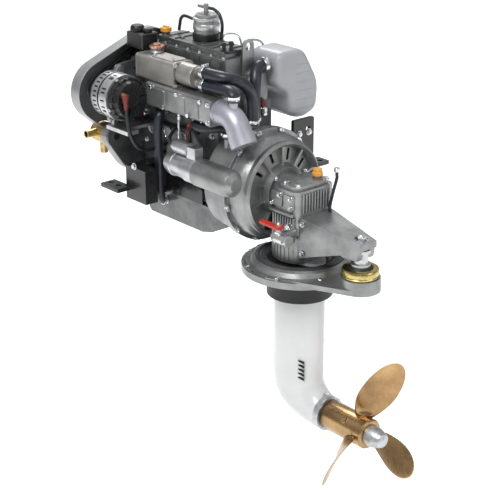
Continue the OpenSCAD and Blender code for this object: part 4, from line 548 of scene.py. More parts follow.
def tidy_mesh(mesh: bpy.types.Mesh, sharp: float, outward: bool = True) -> None:
    """Merges doubles, points faces outwards and marks the edges that bend past an angle as sharp.

    Args:
        mesh: The mesh, in metres.
        sharp: Degrees.
        outward: Whether normals are recalculated.
    """
    work = bmesh.new()
    work.from_mesh(mesh)
    bmesh.ops.remove_doubles(work, verts=work.verts, dist=2e-6)
    if outward:
        bmesh.ops.recalc_face_normals(work, faces=work.faces)
    limit = math.radians(sharp)
    for face in work.faces:
        face.smooth = True
    for edge in work.edges:
        edge.smooth = len(edge.link_faces) == 2 and edge.calc_face_angle(0) < limit
    work.to_mesh(mesh)
    work.free()


def piece(name: str, shape: Shape | Iterable[Shape], finish: Finish, body: str = ENGINE,
          replaces: Sequence[str] = (), sharp: float = 32) -> bpy.types.Object:
    """Makes a shape an object that rides on a body.

    Args:
        name: The piece's name.
        shape: Its surface, or several that it joins.
        finish: Its finish.
        body: The body it rides on.
        replaces: The nodes it stands for.
        sharp: Edges that bend further than this many degrees stay sharp.

    Returns:
        The object.
    """
    whole = shape if isinstance(shape, Shape) else joined(shape)
    mesh = bpy.data.meshes.new(name)
    mesh.from_pydata((whole.points * MM).tolist(), [], whole.faces)
    tidy_mesh(mesh, sharp)
    made = bpy.data.objects.new(name, mesh)
    bpy.context.scene.collection.objects.link(made)
    mesh.materials.append(finish.material())
    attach(made, body)
    if replaces:
        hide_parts(*replaces)
    LOG.info("%s: %d faces", name, len(mesh.polygons))
    return made


CAST_BEVEL = 1.2  # width of the bevel along a copied node's edges, mm
SHARP_ANGLE = 32  # angle past which an edge of a copied node is bevelled and shaded sharp, degrees
WELD_GAP = 5e-6  # vertices of a copied node that are closer than this are one, m
FLAT_ANGLE = 0.8  # facets of a copied node that meet at less than this are one flat face, degrees


def casting(node: str, finish: Finish) -> bpy.types.Object:
    """A smooth copy of a node, which it replaces: flat regions merged, edges bevelled, the rest smooth."""
    body = frame["nodes"][node]["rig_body"]
    mesh = frame["nodes"][node].data.copy()
    mesh.materials.clear()
    work = bmesh.new()
    work.from_mesh(mesh)
    bmesh.ops.remove_doubles(work, verts=work.verts, dist=WELD_GAP)
    bmesh.ops.dissolve_limit(work, angle_limit=math.radians(FLAT_ANGLE), verts=work.verts, edges=work.edges)
    work.to_mesh(mesh)
    work.free()
    tidy_mesh(mesh, SHARP_ANGLE, outward=False)
    made = bpy.data.objects.new(node + "_casting", mesh)
    bpy.context.scene.collection.objects.link(made)
    mesh.materials.append(finish.material())
    edge = made.modifiers.new("soft_edges", "BEVEL")
    edge.width = CAST_BEVEL * MM
    edge.segments = 2
    edge.limit_method = "ANGLE"
    edge.angle_limit = math.radians(SHARP_ANGLE)
    edge.use_clamp_overlap = True
    edge.harden_normals = False
    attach(made, body)
    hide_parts(node)
    LOG.info("%s: copied with %d faces", node, len(mesh.polygons))
    return made


# ---- The stage -------------------------------------------------------------------------------------------


@dataclass(frozen=True)
class Studio:
    """Camera, floor, light and sky of the photograph's view."""

    azimuth: float = 48.8
    elevation: float = 21.8
    focal_pixels: float = 1348.0
    pixels: float = 500.0
    sensor: float = 36.0
    place: tuple[float, float, float] = (2.1586, -2.0489, 1.2333)
    floor_drop: float = 0.03
    floor_glow: float = 0.42

    def axes(self) -> tuple[Vector, Vector, Vector]:
        """The camera's right, up and backward directions."""
        a, e = math.radians(self.azimuth), math.radians(self.elevation)
        right = Vector((math.cos(a), math.sin(a), 0))
        back = Vector((math.sin(a) * math.cos(e), -math.cos(a) * math.cos(e), math.sin(e)))
        return right, back.cross(right), back

    def build(self) -> None:
        """Adds the camera, the floor, the lamps and the sky."""
        right, up, back = self.axes()
        data = bpy.data.cameras.new("photo_camera")
        data.sensor_width = self.sensor
        data.lens = self.focal_pixels * self.sensor / self.pixels
        data.clip_end = 50
        camera = bpy.data.objects.new("photo_camera", data)
        turn = Matrix((right, up, back)).transposed().to_4x4()
        camera.matrix_world = Matrix.Translation(self.place) @ turn
        bpy.context.scene.collection.objects.link(camera)
        bpy.context.scene.camera = camera
        self.floor()
        self.sky()
        self.lamp("key", (0.9, -2.6, 3.4), 1.6, 120)
        self.lamp("fill", (3.4, 0.9, 1.4), 1.8, 22)
        self.lamp("rim", (-2.6, 1.6, 3.0), 1.6, 70)
        bpy.context.scene.view_settings.view_transform = "Standard"

    def floor(self) -> None:
        """A pale floor that glows for the camera and in reflections, so that it looks near white."""
        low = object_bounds()[0][2] - self.floor_drop
        mesh = bpy.data.meshes.new("floor")
        mesh.from_pydata([(-9, -9, low), (9, -9, low), (9, 9, low), (-9, 9, low)], [], [(0, 1, 2, 3)])
        floor = bpy.data.objects.new("floor", mesh)
        bpy.context.scene.collection.objects.link(floor)
        made = bpy.data.materials.new("matt_white_floor")
        made.use_nodes = True
        tree = made.node_tree
        tree.nodes.clear()
        path = add_node(tree, "ShaderNodeLightPath")
        matt = add_node(tree, "ShaderNodeBsdfDiffuse", inputs={"Color": (0.9, 0.9, 0.9, 1)})
        either = add_node(tree, "ShaderNodeMath", {"0": path.outputs["Is Camera Ray"],
                                                   "1": path.outputs["Is Glossy Ray"]}, operation="MAXIMUM")
        seen = add_node(tree, "ShaderNodeMath", {"0": either.outputs[0]}, {"1": self.floor_glow},
                        operation="MULTIPLY")
        glow = add_node(tree, "ShaderNodeEmission", {"Strength": seen.outputs[0]}, {"Color": (1, 1, 1, 1)})
        both = add_node(tree, "ShaderNodeAddShader", {"0": matt.outputs[0], "1": glow.outputs[0]})
        add_node(tree, "ShaderNodeOutputMaterial", {"Surface": both.outputs[0]})
        mesh.materials.append(made)
        floor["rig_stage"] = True

    def sky(self) -> None:
        """A soft grey dome, paler overhead, that the camera sees as white."""
        world = bpy.data.worlds.new("studio")
        bpy.context.scene.world = world
        world.use_nodes = True
        tree = world.node_tree
        tree.nodes.clear()
        way = add_node(tree, "ShaderNodeTexCoord").outputs["Generated"]
        height = add_node(tree, "ShaderNodeSeparateXYZ", {"Vector": way}).outputs["Z"]
        tone = add_node(tree, "ShaderNodeMapRange", {"Value": height},
                        {"From Min": -0.2, "From Max": 0.9, "To Min": 0.12, "To Max": 0.75}).outputs["Result"]
        path = add_node(tree, "ShaderNodeLightPath")
        seen = add_node(tree, "ShaderNodeMath", {"0": path.outputs["Is Camera Ray"], "1": tone},
                        operation="MAXIMUM")
        back = add_node(tree, "ShaderNodeBackground", {"Strength": seen.outputs[0]}, {"Color": (1, 1, 1, 1)})
        add_node(tree, "ShaderNodeOutputWorld", {"Surface": back.outputs[0]})

    def lamp(self, name: str, place: Point, size: float, power: float) -> None:
        """A square soft lamp that points at the engine."""
        data = bpy.data.lights.new(name, "AREA")
        data.size = size
        data.energy = power
        lamp = bpy.data.objects.new(name, data)
        lamp.location = place
        aim = Vector((-0.15, 0, 0.1)) - Vector(place)
        lamp.rotation_euler = aim.to_track_quat("-Z", "Y").to_euler()
        bpy.context.scene.collection.objects.link(lamp)


# ---- Sub-assemblies --------------------------------------------------------------------------------------


@dataclass
class Castings:
    """The nodes whose solids are right and only need soft edges and a finish."""

    finishes: dict[str, Finish] = field(default_factory=lambda: {
        "engine_block": DARK_CASTING, "cylinder_head": GREY_CASTING, "valve_cover": DARK_CASTING,
        "oil_pan": DARK_CASTING, "timing_cover": GREY_CASTING, "flywheel_housing": GREY_CASTING,
        "bell_housing": GREY_CASTING, "belt_cover": GREY_PRESSING, "drive_belt": SOFT_RUBBER,
        "alternator_body": DIE_CAST, "alternator_rear_cover": BLACK_NYLON, "alternator_bracket": DIE_CAST,
        "coolant_pump_body": DARK_CASTING, "heat_exchanger": WARM_CASTING, "exchanger_end_cap": WARM_CASTING,
        "exhaust_manifold": GREY_CASTING, "mixing_elbow": SATIN_STEEL, "intake_manifold": GREY_CASTING,
        "fuel_filter": GREY_CASTING, "injection_pump": DIE_CAST,
        "starter_motor": DIE_CAST, "starter_solenoid": DIE_CAST,
        "raw_water_pump": BRASS, "front_mount_bracket": BLACK_ENAMEL, "aft_mount_bracket": BLACK_ENAMEL,
        "gear_case": GREY_CASTING, "mount_arm": GREY_CASTING,
        "mounting_ring": GREY_CASTING, "rubber_boot": SOFT_RUBBER, "anode_ring": ZINC,
        "sea_cock_body": DIE_CAST, "fasteners": PLATED, "crankshaft": TURNED_STEEL, "flywheel": TURNED_STEEL,
        "crank_pulley": BLACK_ENAMEL, "input_shaft": TURNED_STEEL, "camshaft": TURNED_STEEL,
        "idler_gear": TURNED_STEEL, "piston_front": DIE_CAST, "piston_middle": DIE_CAST,
        "piston_rear": DIE_CAST, "alternator_rotor": TURNED_STEEL, "coolant_pump_pulley": BLACK_ENAMEL,
        "raw_water_impeller": SOFT_RUBBER, "starter_pinion": TURNED_STEEL,
        "oil_filler_cap": AMBER_PLASTIC, "propeller_cone": ZINC,
        "propeller_shaft": TURNED_STEEL, "vertical_shaft": TURNED_STEEL, "sea_cock_handle": RED_PLASTIC,
        "coolant_cap": PINK_CAP, "gear_oil_cap": AMBER_PLASTIC, "throttle_lever": TURNED_STEEL})

    def build(self) -> None:
        """Copies each node with its finish."""
        for node, finish in self.finishes.items():
            casting(node, finish)


@dataclass
class Leg:
    """The white leg: a vertical strut of oval section that bends aft into the propeller's housing."""

    end_x: float = 95.0
    mid_x: float = 1.0
    length: float = 152.0
    width: float = 90.0
    depth: float = 350.0
    torpedo_r: float = 42.0
    bend_z: float = -264.0
    top_z: float = 34.0
    taper: float = 0.12
    power: float = 2.8
    slots: int = 5
    slot_pitch: float = 11.0
    slot_place: tuple[float, float] = (46.0, -224.0)

    def ring(self, k: float, steps: int, sides: int) -> np.ndarray:
        """One section: an oval, wider aft, on the ray turned by 90 degrees times k / steps about the bend."""
        t = max(k, 0) / steps
        a = math.radians(90 * t)
        reach_x, reach_z = self.end_x - self.mid_x, self.depth + self.bend_z
        inner = (reach_x - self.length / 2) * (1 - t * t) + (reach_z - self.torpedo_r) * t * t
        out_x, out_z = reach_x + self.length / 2, reach_z + self.torpedo_r
        outer = ((math.cos(a) / out_x) ** self.power + (math.sin(a) / out_z) ** self.power) ** (-1 / self.power)
        mid, half = (inner + outer) / 2, (outer - inner) / 2
        width = self.width / 2 * (1 - t) + self.torpedo_r * t
        rise = self.top_z - self.bend_z if k < 0 else 0
        angle = -np.linspace(0, 2 * math.pi, sides, endpoint=False)
        skew = 1 - self.taper * np.cos(angle)
        x = half * np.cos(angle)
        y = width * np.sin(angle) * skew * (1 + t * self.taper * np.cos(angle) / skew)
        reach = mid - x
        return np.stack([self.end_x - reach * math.cos(a), y, self.bend_z + rise - reach * math.sin(a)], 1)

    def build(self) -> None:
        """Makes the leg and its water slots."""
        steps, sides = 56, 96
        rings = np.stack([self.ring(k, steps, sides) for k in range(-1, steps + 1)])
        straight = rings[0] + (rings[1] - rings[0]) * np.linspace(0, 1, 12)[1:-1, None, None]
        skin = piece("leg_skin", grid(np.concatenate([rings[:1], straight, rings[1:]])), WHITE_ENAMEL,
                     replaces=["leg_housing"], sharp=50)
        self.cut_slots(skin)

    def cut_slots(self, skin: bpy.types.Object) -> None:
        """Cuts the water slots: rounded slots pushed into the port side, then lined with painted shade."""
        x, z = self.slot_place
        cutters, shade_liners = [], []
        for i in range(self.slots):
            low = z - i * self.slot_pitch
            outline = rounded_outline((low - 3, x - 10), (low + 3, x + 10), 2.6)
            cutters.append(plate(outline, Axis.Y, (-60, -34), 0.2))
            # Painted shade: a near-black sheet just inside each slot stands for its shaded inside
            shade_liners.append(plate(inset(outline, -0.4), Axis.Y, (-35.2, -34.2), 0.2))
        carve(skin, joined(cutters))
        piece("leg_slot_liners", shade_liners, VENT_PAINTED_SHADE)


def carve(target: bpy.types.Object, cutter: Shape) -> None:
    """Cuts a shape out of a piece for good.

    Args:
        target: The piece.
        cutter: The closed shape that is taken away.
    """
    mesh = bpy.data.meshes.new("cutter")
    mesh.from_pydata((cutter.points * MM).tolist(), [], cutter.faces)
    tidy_mesh(mesh, 30)
    tool = bpy.data.objects.new("cutter", mesh)
    bpy.context.scene.collection.objects.link(tool)
    cut = target.modifiers.new("cut", "BOOLEAN")
    cut.operation = "DIFFERENCE"
    cut.object = tool
    cut.solver = "EXACT"
    bpy.context.view_layer.update()
    result = bpy.data.meshes.new_from_object(target.evaluated_get(bpy.context.evaluated_depsgraph_get()))
    target.modifiers.remove(cut)
    old = target.data
    target.data = result
    result.name = target.name
    bpy.data.meshes.remove(old)
    bpy.data.objects.remove(tool)
    bpy.data.meshes.remove(mesh)


@dataclass
class Propeller:
    """Bronze blades on a hub: each blade is a screw surface, raked aft, that thins to its tip."""

    hub_r: float = 37.0
    hub: tuple[float, float] = (113.5, 247.5)
    blade_x: float = 213.5
    tip_r: float = 188.0
    chord: float = 94.0
    rake: float = 62.0
    pitch: float = 470.0
    thick: float = 8.0
    tip_thick: float = 2.4
    root_share: float = 0.42
    start: float = -16.0
    depth: float = 350.0
    blades: int = 3

    def chord_share(self, s: np.ndarray) -> np.ndarray:
        """The chord's share of its greatest: a sine rise to 0.55 of the blade, then a super-ellipse."""
        rise = self.root_share + (1 - self.root_share) * np.sin(math.pi / 2 * np.minimum(1, s / 0.55))
        fall = np.sqrt(np.maximum(0.0004, 1 - (np.maximum(s - 0.55, 0) / 0.45) ** 2.4))
        return rise * np.where(s < 0.55, 1, fall)

    def blade(self) -> Shape:
        """One blade: chord points laid at the pitch angle round a cylinder of each section's radius."""
        rows, half = 44, 22
        s = (1 - np.cos(np.linspace(0, math.pi, rows))) / 2
        s = (0.6 * s + 0.4 * np.linspace(0, 1, rows))[:, None]
        u = (1 - np.cos(np.linspace(0, math.pi, half))) / 2
        side = np.concatenate([np.ones(half), -np.ones(half - 2)])[None, :]
        u = np.concatenate([u, u[-2:0:-1]])[None, :]
        r = (self.hub_r - 4) * (1 - s) + self.tip_r * s
        share = self.chord_share(s)
        thick = self.thick * (1 - s) + self.tip_thick * s
        root = 1 + 1.1 * np.exp(-((r - self.hub_r) / 9) ** 2)
        section = np.sqrt(np.maximum(1 - (2 * u - 1) ** 2, 0)) ** 1.35 / 2
        t = root * thick * section * side * np.minimum(1, share * 2)
        angle = np.arctan(self.pitch / (2 * math.pi * r))
        along = self.chord * share * (u - 0.5)
        arc = (along * np.cos(angle) - t * np.sin(angle)) / r
        x = self.blade_x + self.rake * s + along * np.sin(angle) + t * np.cos(angle)
        return grid(np.stack([x, r * np.sin(arc), r * np.cos(arc)], -1))

    def build(self) -> None:
        """Makes the blades and the hub with its sockets."""
        centre = (0, 0, -self.depth)
        blades = around(self.blade().moved(centre), spread(self.blades, self.start), centre)
        x0, x1 = self.hub
        r = self.hub_r
        profile = [(x0, 14), (x0, r - 3), (x0 + 1.5, r - 1), (x0 + 4, r), (x1 - 26, r), (x1 - 25, r - 0.8),
                   (x1 - 23, r - 0.8), (x1 - 22, r), (x1 - 4, r), (x1 - 1, r - 2), (x1, r - 4), (x1, 14)]
        piece("propeller_blades", blades, BRONZE, "prop", ["propeller"], sharp=60)
        piece("propeller_hub", ring_part(profile, Axis.X, centre, 72), BRONZE, "prop")
        screw_x = self.blade_x - 26
        bolt = socket_bolt((screw_x, 0, r - self.depth - 0.5), UP, 6.5, 3.5)
        rim = ring_part([(r - 1, 7.5), (r + 1.2, 7.5), (r + 1.2, 10), (r - 1, 11)], Axis.Z,
                        (screw_x, 0, -self.depth), 32)
        angles = spread(self.blades, self.start + 180 / self.blades)
        piece("propeller_hub_screws", around(bolt + rim, angles, centre), BRONZE, "prop")


@dataclass
class Hoses:
    """Rubber hoses, the coolant hoses' clamps and the engine's cables, each a tube along its route."""

    big_r: float = 14.0
    small_r: float = 11.0
    fuel_r: float = 4.0
    end_chamfer: float = 0.8
    big: tuple = (
        ((-234, -104, 449.5), (-216, -104, 449.5), (-200, -104, 449.5), (-168, -92, 446), (-151, -66, 438),
         (-146, -40, 418), (-150, -22, 388), (-152, -17, 358), (-152, -17, 340), (-152, -17, 322)),
        ((-234, -104, 418.5), (-216, -104, 418.5), (-200, -104, 418.5), (-160, -107, 422), (-128, -111, 424),
         (-113, -113, 418), (-110, -113, 411), (-110, -113, 404)),
        ((-192, 62, 448), (-192, 48, 448), (-192, 38, 448), (-187, 24, 440), (-178, 14, 420), (-175, 9, 390),
         (-174, 8, 355), (-174, 8, 335), (-174, 8, 318)))
    small: tuple = (
        ((-380, -99, 322), (-380, -104, 322), (-380, -109, 322), (-380, -122, 313), (-380, -125, 290),
         (-380, -125, 240), (-380, -125, 180), (-380, -125, 130), (-380, -122, 108), (-380, -114, 96),
         (-380, -109, 96), (-380, -104, 96)),
        ((-250, -99, 322), (-250, -104, 322), (-250, -109, 322), (-238, -120, 321), (-214, -122, 320),
         (-188, -110, 323), (-174, -92, 322), (-172, -81, 312), (-172, -80, 304), (-172, -80, 296)))
    fuel: tuple = (
        ((-389, 8, 532), (-397, 8, 532), (-405, 8, 532), (-436, 8, 534), (-452, 9, 525), (-458, 10, 510),
         (-460, 10, 502), (-462, 10, 494)),
        ((-340, 8, 568), (-332, 8, 568), (-324, 8, 568), (-304, 9, 558), (-296, 11, 535), (-301, 14, 510),
         (-302, 14, 502), (-303, 14, 494)),
        ((62, 34, 150), (62, 34, 158), (62, 34, 166), (61, 44, 195), (60, 56, 226), (60, 56, 234),
         (60, 56, 242)))

    def clamp(self, path: np.ndarray, r: float) -> Shape:
        """A worm-drive clamp: a thin band with rolled edges and a screw housing, near the path's start."""
        way = path[1] - path[0]
        way = way / np.linalg.norm(way)
        band = ring_part([(0, r - 0.2), (0, r + 1.5), (1, r + 1.1), (8, r + 1.1), (9, r + 1.5), (9, r - 0.2)],
                         sides=40)
        housing = block((0.5, -6, r + 0.8), (8.5, 6, r + 5.5), 1.2, Axis.Y, 0.8)
        screw = plate(circle_outline((4.5, r + 3.2), 3.4, 6)[:, ::-1], Axis.Y, (5.8, 10.5), 0.5)
        return along_segment(band + housing + screw, path[0] + way * 4.5, way)

    def build(self) -> None:
        """Makes every hose and clamp."""
        tubes, clamps = [], []
        for routes, r in ((self.big, self.big_r), (self.small, self.small_r), (self.fuel, self.fuel_r)):
            for route in routes:
                curve = spline(route, 10)
                radius = np.full(len(curve), r)
                radius[[0, -1]] -= self.end_chamfer
                tubes.append(tube(curve, radius, 24))
                if r > self.fuel_r:
                    clamps += [self.clamp(np.array(path, float), r) for path in (route, route[::-1])]
        piece("rubber_hose_runs", tubes, HOSE_RUBBER, replaces=["rubber_hoses"], sharp=60)
        piece("hose_clamps", clamps, PLATED)


@dataclass
class InjectorPipes:
    """Bent steel pipes from the injection pump to the injectors, with their union nuts."""

    cylinders: tuple[float, float, float] = (-436.0, -350.0, -264.0)
    outlets: tuple[float, float, float] = (-464.5, -437.0, -409.5)
    injector_y: float = 58.0
    outlet_y: float = 113.0
    head_z: float = 361.5
    top_z: float = 425.5
    height: float = 52.0

    def route(self, i: int) -> list[Point]:
        """The pipe's points, from the injector over the intake manifold and down to the pump."""
        x, far_x = self.cylinders[i], self.outlets[i]
        top = self.top_z + self.height
        near_y, far_y = self.injector_y, self.outlet_y
        return [(x, near_y, top), (x, near_y, top + 4), (x, near_y, top + 8), (x, 72, top + 16),
                (x - 8, 118, top), (x - 14, 132, 428), ((x + far_x) / 2, 132, 370), (far_x, 118, 316),
                (far_x, far_y, 308), (far_x, far_y, 300), (far_x, far_y, 292)]

    def build(self) -> None:
        """Makes the pipes, nuts and injectors."""
        pipes, bodies = [], []
        for i, x in enumerate(self.cylinders):
            top, end = self.top_z, self.top_z + self.height
            pipes.append(cable(self.route(i), 8, 3.0, 12))
            pipes.append(hexagon((x, self.injector_y), 6.2, Axis.Z, (end - 9, end + 3), 0.8))
            pipes.append(hexagon((self.outlets[i], self.outlet_y), 6.2, Axis.Z, (290, 302), 0.8))
            profile = [(self.head_z + 6, 0), (self.head_z + 6, 4.5), (top, 4.5), (top, 9), (top + 8, 9),
                       (top + 10, 7.5), (top + 30, 7.5), (top + 32, 8.6), (top + 43, 8.6), (top + 45, 5),
                       (top + 46, 0)]
            bodies.append(turned_part(profile, Axis.Z, (x, self.injector_y, 0), 32))
        piece("injection_pipes", pipes, PLATED, replaces=["injector_lines"], sharp=40)
        piece("injector_bodies", bodies, TURNED_STEEL)


@dataclass
class Alternator:
    """What shows on the alternator past its castings: seam, air slots, through bolts, vanes and terminal."""

    centre: tuple[float, float] = (-184.0, 360.0)
    front: float = -496.0
    rear: float = -433.0
    r: float = 57.0
    cover_r: float = 51.0
    cover_end: float = -403.0
    slots: int = 30
    vanes: int = 26
    ribs: int = 18
    paired_slots: tuple[float, ...] = (20, 65, 112, 155, 200, 245, 290, 335)
    bolt_angles: tuple[float, ...] = (25, 115, 205, 295)

    def build(self) -> None:
        """Makes the seam and the air slots in painted shade, the bright bolts and the black vanes."""
        y, z = self.centre
        axle = (0, y, z)
        front, rear, end, r = self.front, self.rear, self.cover_end, self.r
        low, high = z + r - 1.5, z + r + 0.25
        seam = ring_part([(front + 26, r - 1), (front + 26, r + 0.35), (front + 31, r + 0.35),
                          (front + 31, r - 1)], origin=axle, sides=96)
        slot = block((front + 8, y - 2.2, low), (front + 21, y + 2.2, high), 2.0, Axis.Z, 0.1, 4)
        pair = joined(block((front + 40, y + s - 2, low), (front + 54, y + s + 2, high), 1.8, Axis.Z, 0.1, 4)
                      for s in (-5, 5))
        # The seam and the air slots are near-black strips of painted shade, not openings
        dark = [seam] + around(slot, spread(self.slots), axle) + around(pair, self.paired_slots, axle)
        piece("alternator_air_slots", dark, VENT_PAINTED_SHADE)
        bolt = hex_bolt((rear, y, z + r - 4.5), AFT, 4.2, 4.0)
        piece("alternator_bolts", around(bolt, self.bolt_angles, axle), PLATED)
        vane = block((end - 2, y - 1.1, z + 20), (end + 2.2, y + 1.1, z + 44), 1.0, Axis.X, 0.4, 3)
        hub = ring_part([(end - 1, 13), (end + 2.4, 13), (end + 3, 14), (end + 3, 17), (end + 2.4, 18),
                         (end - 1, 18)], origin=axle, sides=48)
        edge = z + self.cover_r
        rib = block((rear + 4, y - 1.3, edge - 1), (rear + 26, y + 1.3, edge + 2.2), 1.2, Axis.Z, 0.4, 3)
        black = around(vane, spread(self.vanes), axle) + [hub] + around(rib, spread(self.ribs, 10), axle)
        piece("alternator_rear_vanes", black, BLACK_NYLON)
        self.terminal((end, y, z))

    def terminal(self, at: Point) -> None:
        """The charging terminal: a brass stud, a boot and the loom that drops to the block."""
        stud = turned_part([(0, 0), (0, 7), (3, 7), (3.5, 4), (12, 4), (12.5, 3), (12.5, 0)],
                           origin=shifted((0, -28, 18), at), sides=24)
        piece("alternator_terminal", stud, BRASS)
        boot = spline(shifted([(9, -28, 20), (10, -28, 8), (10, -27, -4), (10, -26, -18)], at), 6)
        piece("alternator_terminal_boot", tube(boot, np.linspace(8.5, 4.6, len(boot)), 20), RED_BOOT)
        loom = [(10, -26, -14), (11, -24, -44), (12, -16, -84), (10, 6, -118), (6, 40, -132), (4, 84, -128),
                (4, 97, -126)]
        piece("alternator_loom", corrugated(shifted(loom, at), 4.4), BLACK_NYLON, sharp=75)


@dataclass
class PortSide:
    """The block's port side: core plugs, bolts, dipstick, looms and senders."""

    side: tuple[float, float, float] = (0.0, -85.0, 0.0)
    plugs: tuple = ((-455, 0, 262), (-393, 0, 262), (-336, 0, 262))
    plug_r: float = 17.0
    bolts: tuple = ((-486, 0, 344), (-412, 0, 344), (-322, 0, 340), (-230, 0, 340), (-482, 0, 226),
                    (-340, 0, 214), (-222, 0, 226), (-420, 0, 196), (-222, 0, 290), (-366, 0, 150),
                    (-300, 0, 150))
    dipstick_rise: tuple = ((-318, 0, 196), (-318, -8, 204), (-320, -16, 224), (-322, -20, 262),
                            (-324, -20, 300), (-325, -18, 318))
    looms: tuple = (
        ((-485, -6, 462), (-486, -10, 430), (-470, -11, 400), (-452, -5, 370), (-440, -4, 332),
         (-428, -6, 300), (-400, -7, 284), (-360, -8, 286), (-320, -9, 292), (-286, -10, 296),
         (-262, -14, 300), (-250, -18, 296)),
        ((-300, -9, 294), (-292, -12, 270), (-286, -20, 250), (-276, -26, 240)),
        ((-428, -6, 300), (-420, -10, 270), (-414, -10, 236), (-410, -5, 212), (-409, 0, 206)))
    wires: tuple = (
        ((-268, -20, 318), (-276, -30, 306), (-284, -30, 288), (-282, -24, 268), (-272, -30, 254)),
        ((-262, -20, 318), (-268, -34, 300), (-274, -34, 282), (-268, -32, 262)))
    senders: tuple = (((-257, -86, 318), PORT), ((-470, -85, 300), PORT), ((-198, 60, 322), (0, -0.2, 1)))

    def build(self) -> None:
        """Makes each group as one piece."""
        plug = core_plug(self.plug_r, 0.5, self.plug_r - 2.4)
        plugs = [along_segment(plug, place, PORT) for place in shifted(self.plugs, self.side)]
        piece("block_core_plugs", plugs, PLATED)
        piece("block_side_bolts", hex_bolts(shifted(self.bolts, self.side), PORT, 6.0, 5.0), PLATED)
        self.dipstick()
        looms = [corrugated(shifted(route, self.side), 4.2) for route in self.looms]
        piece("wiring_looms", looms, BLACK_NYLON, sharp=75)
        wires = [cable(shifted(route, self.side), 8, 1.3, 8) for route in self.wires]
        piece("loose_wires", wires, RED_BOOT, sharp=80)
        nut = hexagon((0, 0), 8.5, Axis.X, (0, 8), 0.8)
        drum = turned_part([(8, 0), (8, 10), (9, 11), (20, 11), (22, 9.5), (24, 7), (24, 0)], sides=32)
        cover = turned_part([(23, 0), (23, 8.6), (25, 9), (36, 6.4), (42, 5), (45, 3), (45, 0)], sides=28)
        piece("sender_drums", [along_segment(nut + drum, *sender) for sender in self.senders], PLATED)
        piece("sender_covers", [along_segment(cover, *sender) for sender in self.senders], RED_BOOT)

    def dipstick(self) -> None:
        """The dipstick's tube and its looped handle."""
        guide = cable(shifted(self.dipstick_rise, self.side), 8, 3.6, 14)
        x, y = self.dipstick_rise[-1][0], self.side[1] + self.dipstick_rise[-1][1]
        collar = turned_part([(314, 0), (314, 5.4), (322, 5.4), (323, 4.4), (328, 4.4), (328, 0)], Axis.Z,
                             (x, y, 0), 20)
        t = np.linspace(0, 2 * math.pi, 40)
        loop = np.stack([x + 8 * np.sin(t), np.full(40, y), 336 - 8 * np.cos(t)], 1)
        piece("dipstick_tube", guide + collar, PLATED)
        piece("dipstick_handle", tube(loop, 1.6, 10), RED_PLASTIC, sharp=80)


@dataclass
class Fixings:
    """The bolts round the bell's rim, with a gap for the starter, and the nuts of the belt's pulleys."""

    bell_r: float = 134.0
    crank_z: float = 180.0
    rim_x: float = -115.0
    count: int = 12
    first: float = 12.0
    starter_angle: float = 75.0
    nut_x: float = -546.0

    def build(self) -> None:
        """Seats the bolts and the two nuts."""
        rim = hex_bolt((self.rim_x, 0, self.crank_z + self.bell_r), AFT, 5.0, 4.6)
        angles = [a for a in spread(self.count, self.first) if abs(a % 360 - self.starter_angle) > 20]
        piece("bell_rim_bolts", around(rim, angles, (0, 0, self.crank_z)), PLATED)
        piece("pulley_nut_coolant", hex_bolt((self.nut_x, -33, 424), FORE, 7, 6), PLATED, "pump_pulley")
        piece("pulley_nut_crank", hex_bolt((self.nut_x, 0, self.crank_z), FORE, 12, 9), PLATED, "crank")


@dataclass
class Silencer:
    """The air silencer: a soft-edged moulding with pressed lines on its aft face."""

    span: tuple[float, float] = (-268.0, -164.0)
    outline: tuple = ((74, 476), (74, 392), (108, 372), (118, 312), (160, 302), (207, 318), (212, 388),
                      (160, 478))
    corner: float = 26.0
    soft: float = 12.8
    lines: int = 6

    def rounded(self, inward: float) -> np.ndarray:
        """The outline drawn in by a distance, with each corner cut to a quadratic curve of seven points."""
        p = np.array(self.outline, float)
        back = np.roll(p, 1, 0) - p
        ahead = np.roll(p, -1, 0) - p
        lb = np.linalg.norm(back, axis=1, keepdims=True)
        la = np.linalg.norm(ahead, axis=1, keepdims=True)
        cut = np.minimum(self.corner, np.minimum(lb, la) * 0.45)
        a, b = p + back / lb * cut, p + ahead / la * cut
        t = np.linspace(0, 1, 7)[None, :, None]
        curve = a[:, None] * (1 - t) ** 2 + 2 * p[:, None] * t * (1 - t) + b[:, None] * t ** 2
        return inset(curve.reshape(-1, 2), inward)

    def build(self) -> None:
        """Makes the body by rows whose inset follows a quarter circle at each face, then the pressed lines."""
        x0, x1 = self.span
        rows = [(0.0, self.soft + 2)]
        rows += [(self.soft * (1 - math.cos(a)), self.soft * (1 - math.sin(a)))
                 for a in np.radians(np.linspace(0, 90, 8))]
        both = [(x0 + x, d) for x, d in rows] + [(x1 - x, d) for x, d in rows[::-1]]
        body = grid(stacked([(x, self.rounded(d)) for x, d in both], Axis.X))
        piece("silencer_moulding", body, GREY_PLASTIC, replaces=["intake_silencer"], sharp=50)
        strips = [block((x1 - 0.6, 132, z), (x1 + 0.9, 194 - 3 * i, z + 1.6), 0.7, Axis.X, 0.3, 3)
                  for i, z in enumerate(range(330, 330 + 22 * self.lines, 22))]
        piece("silencer_pressed_lines", strips, GREY_PLASTIC)


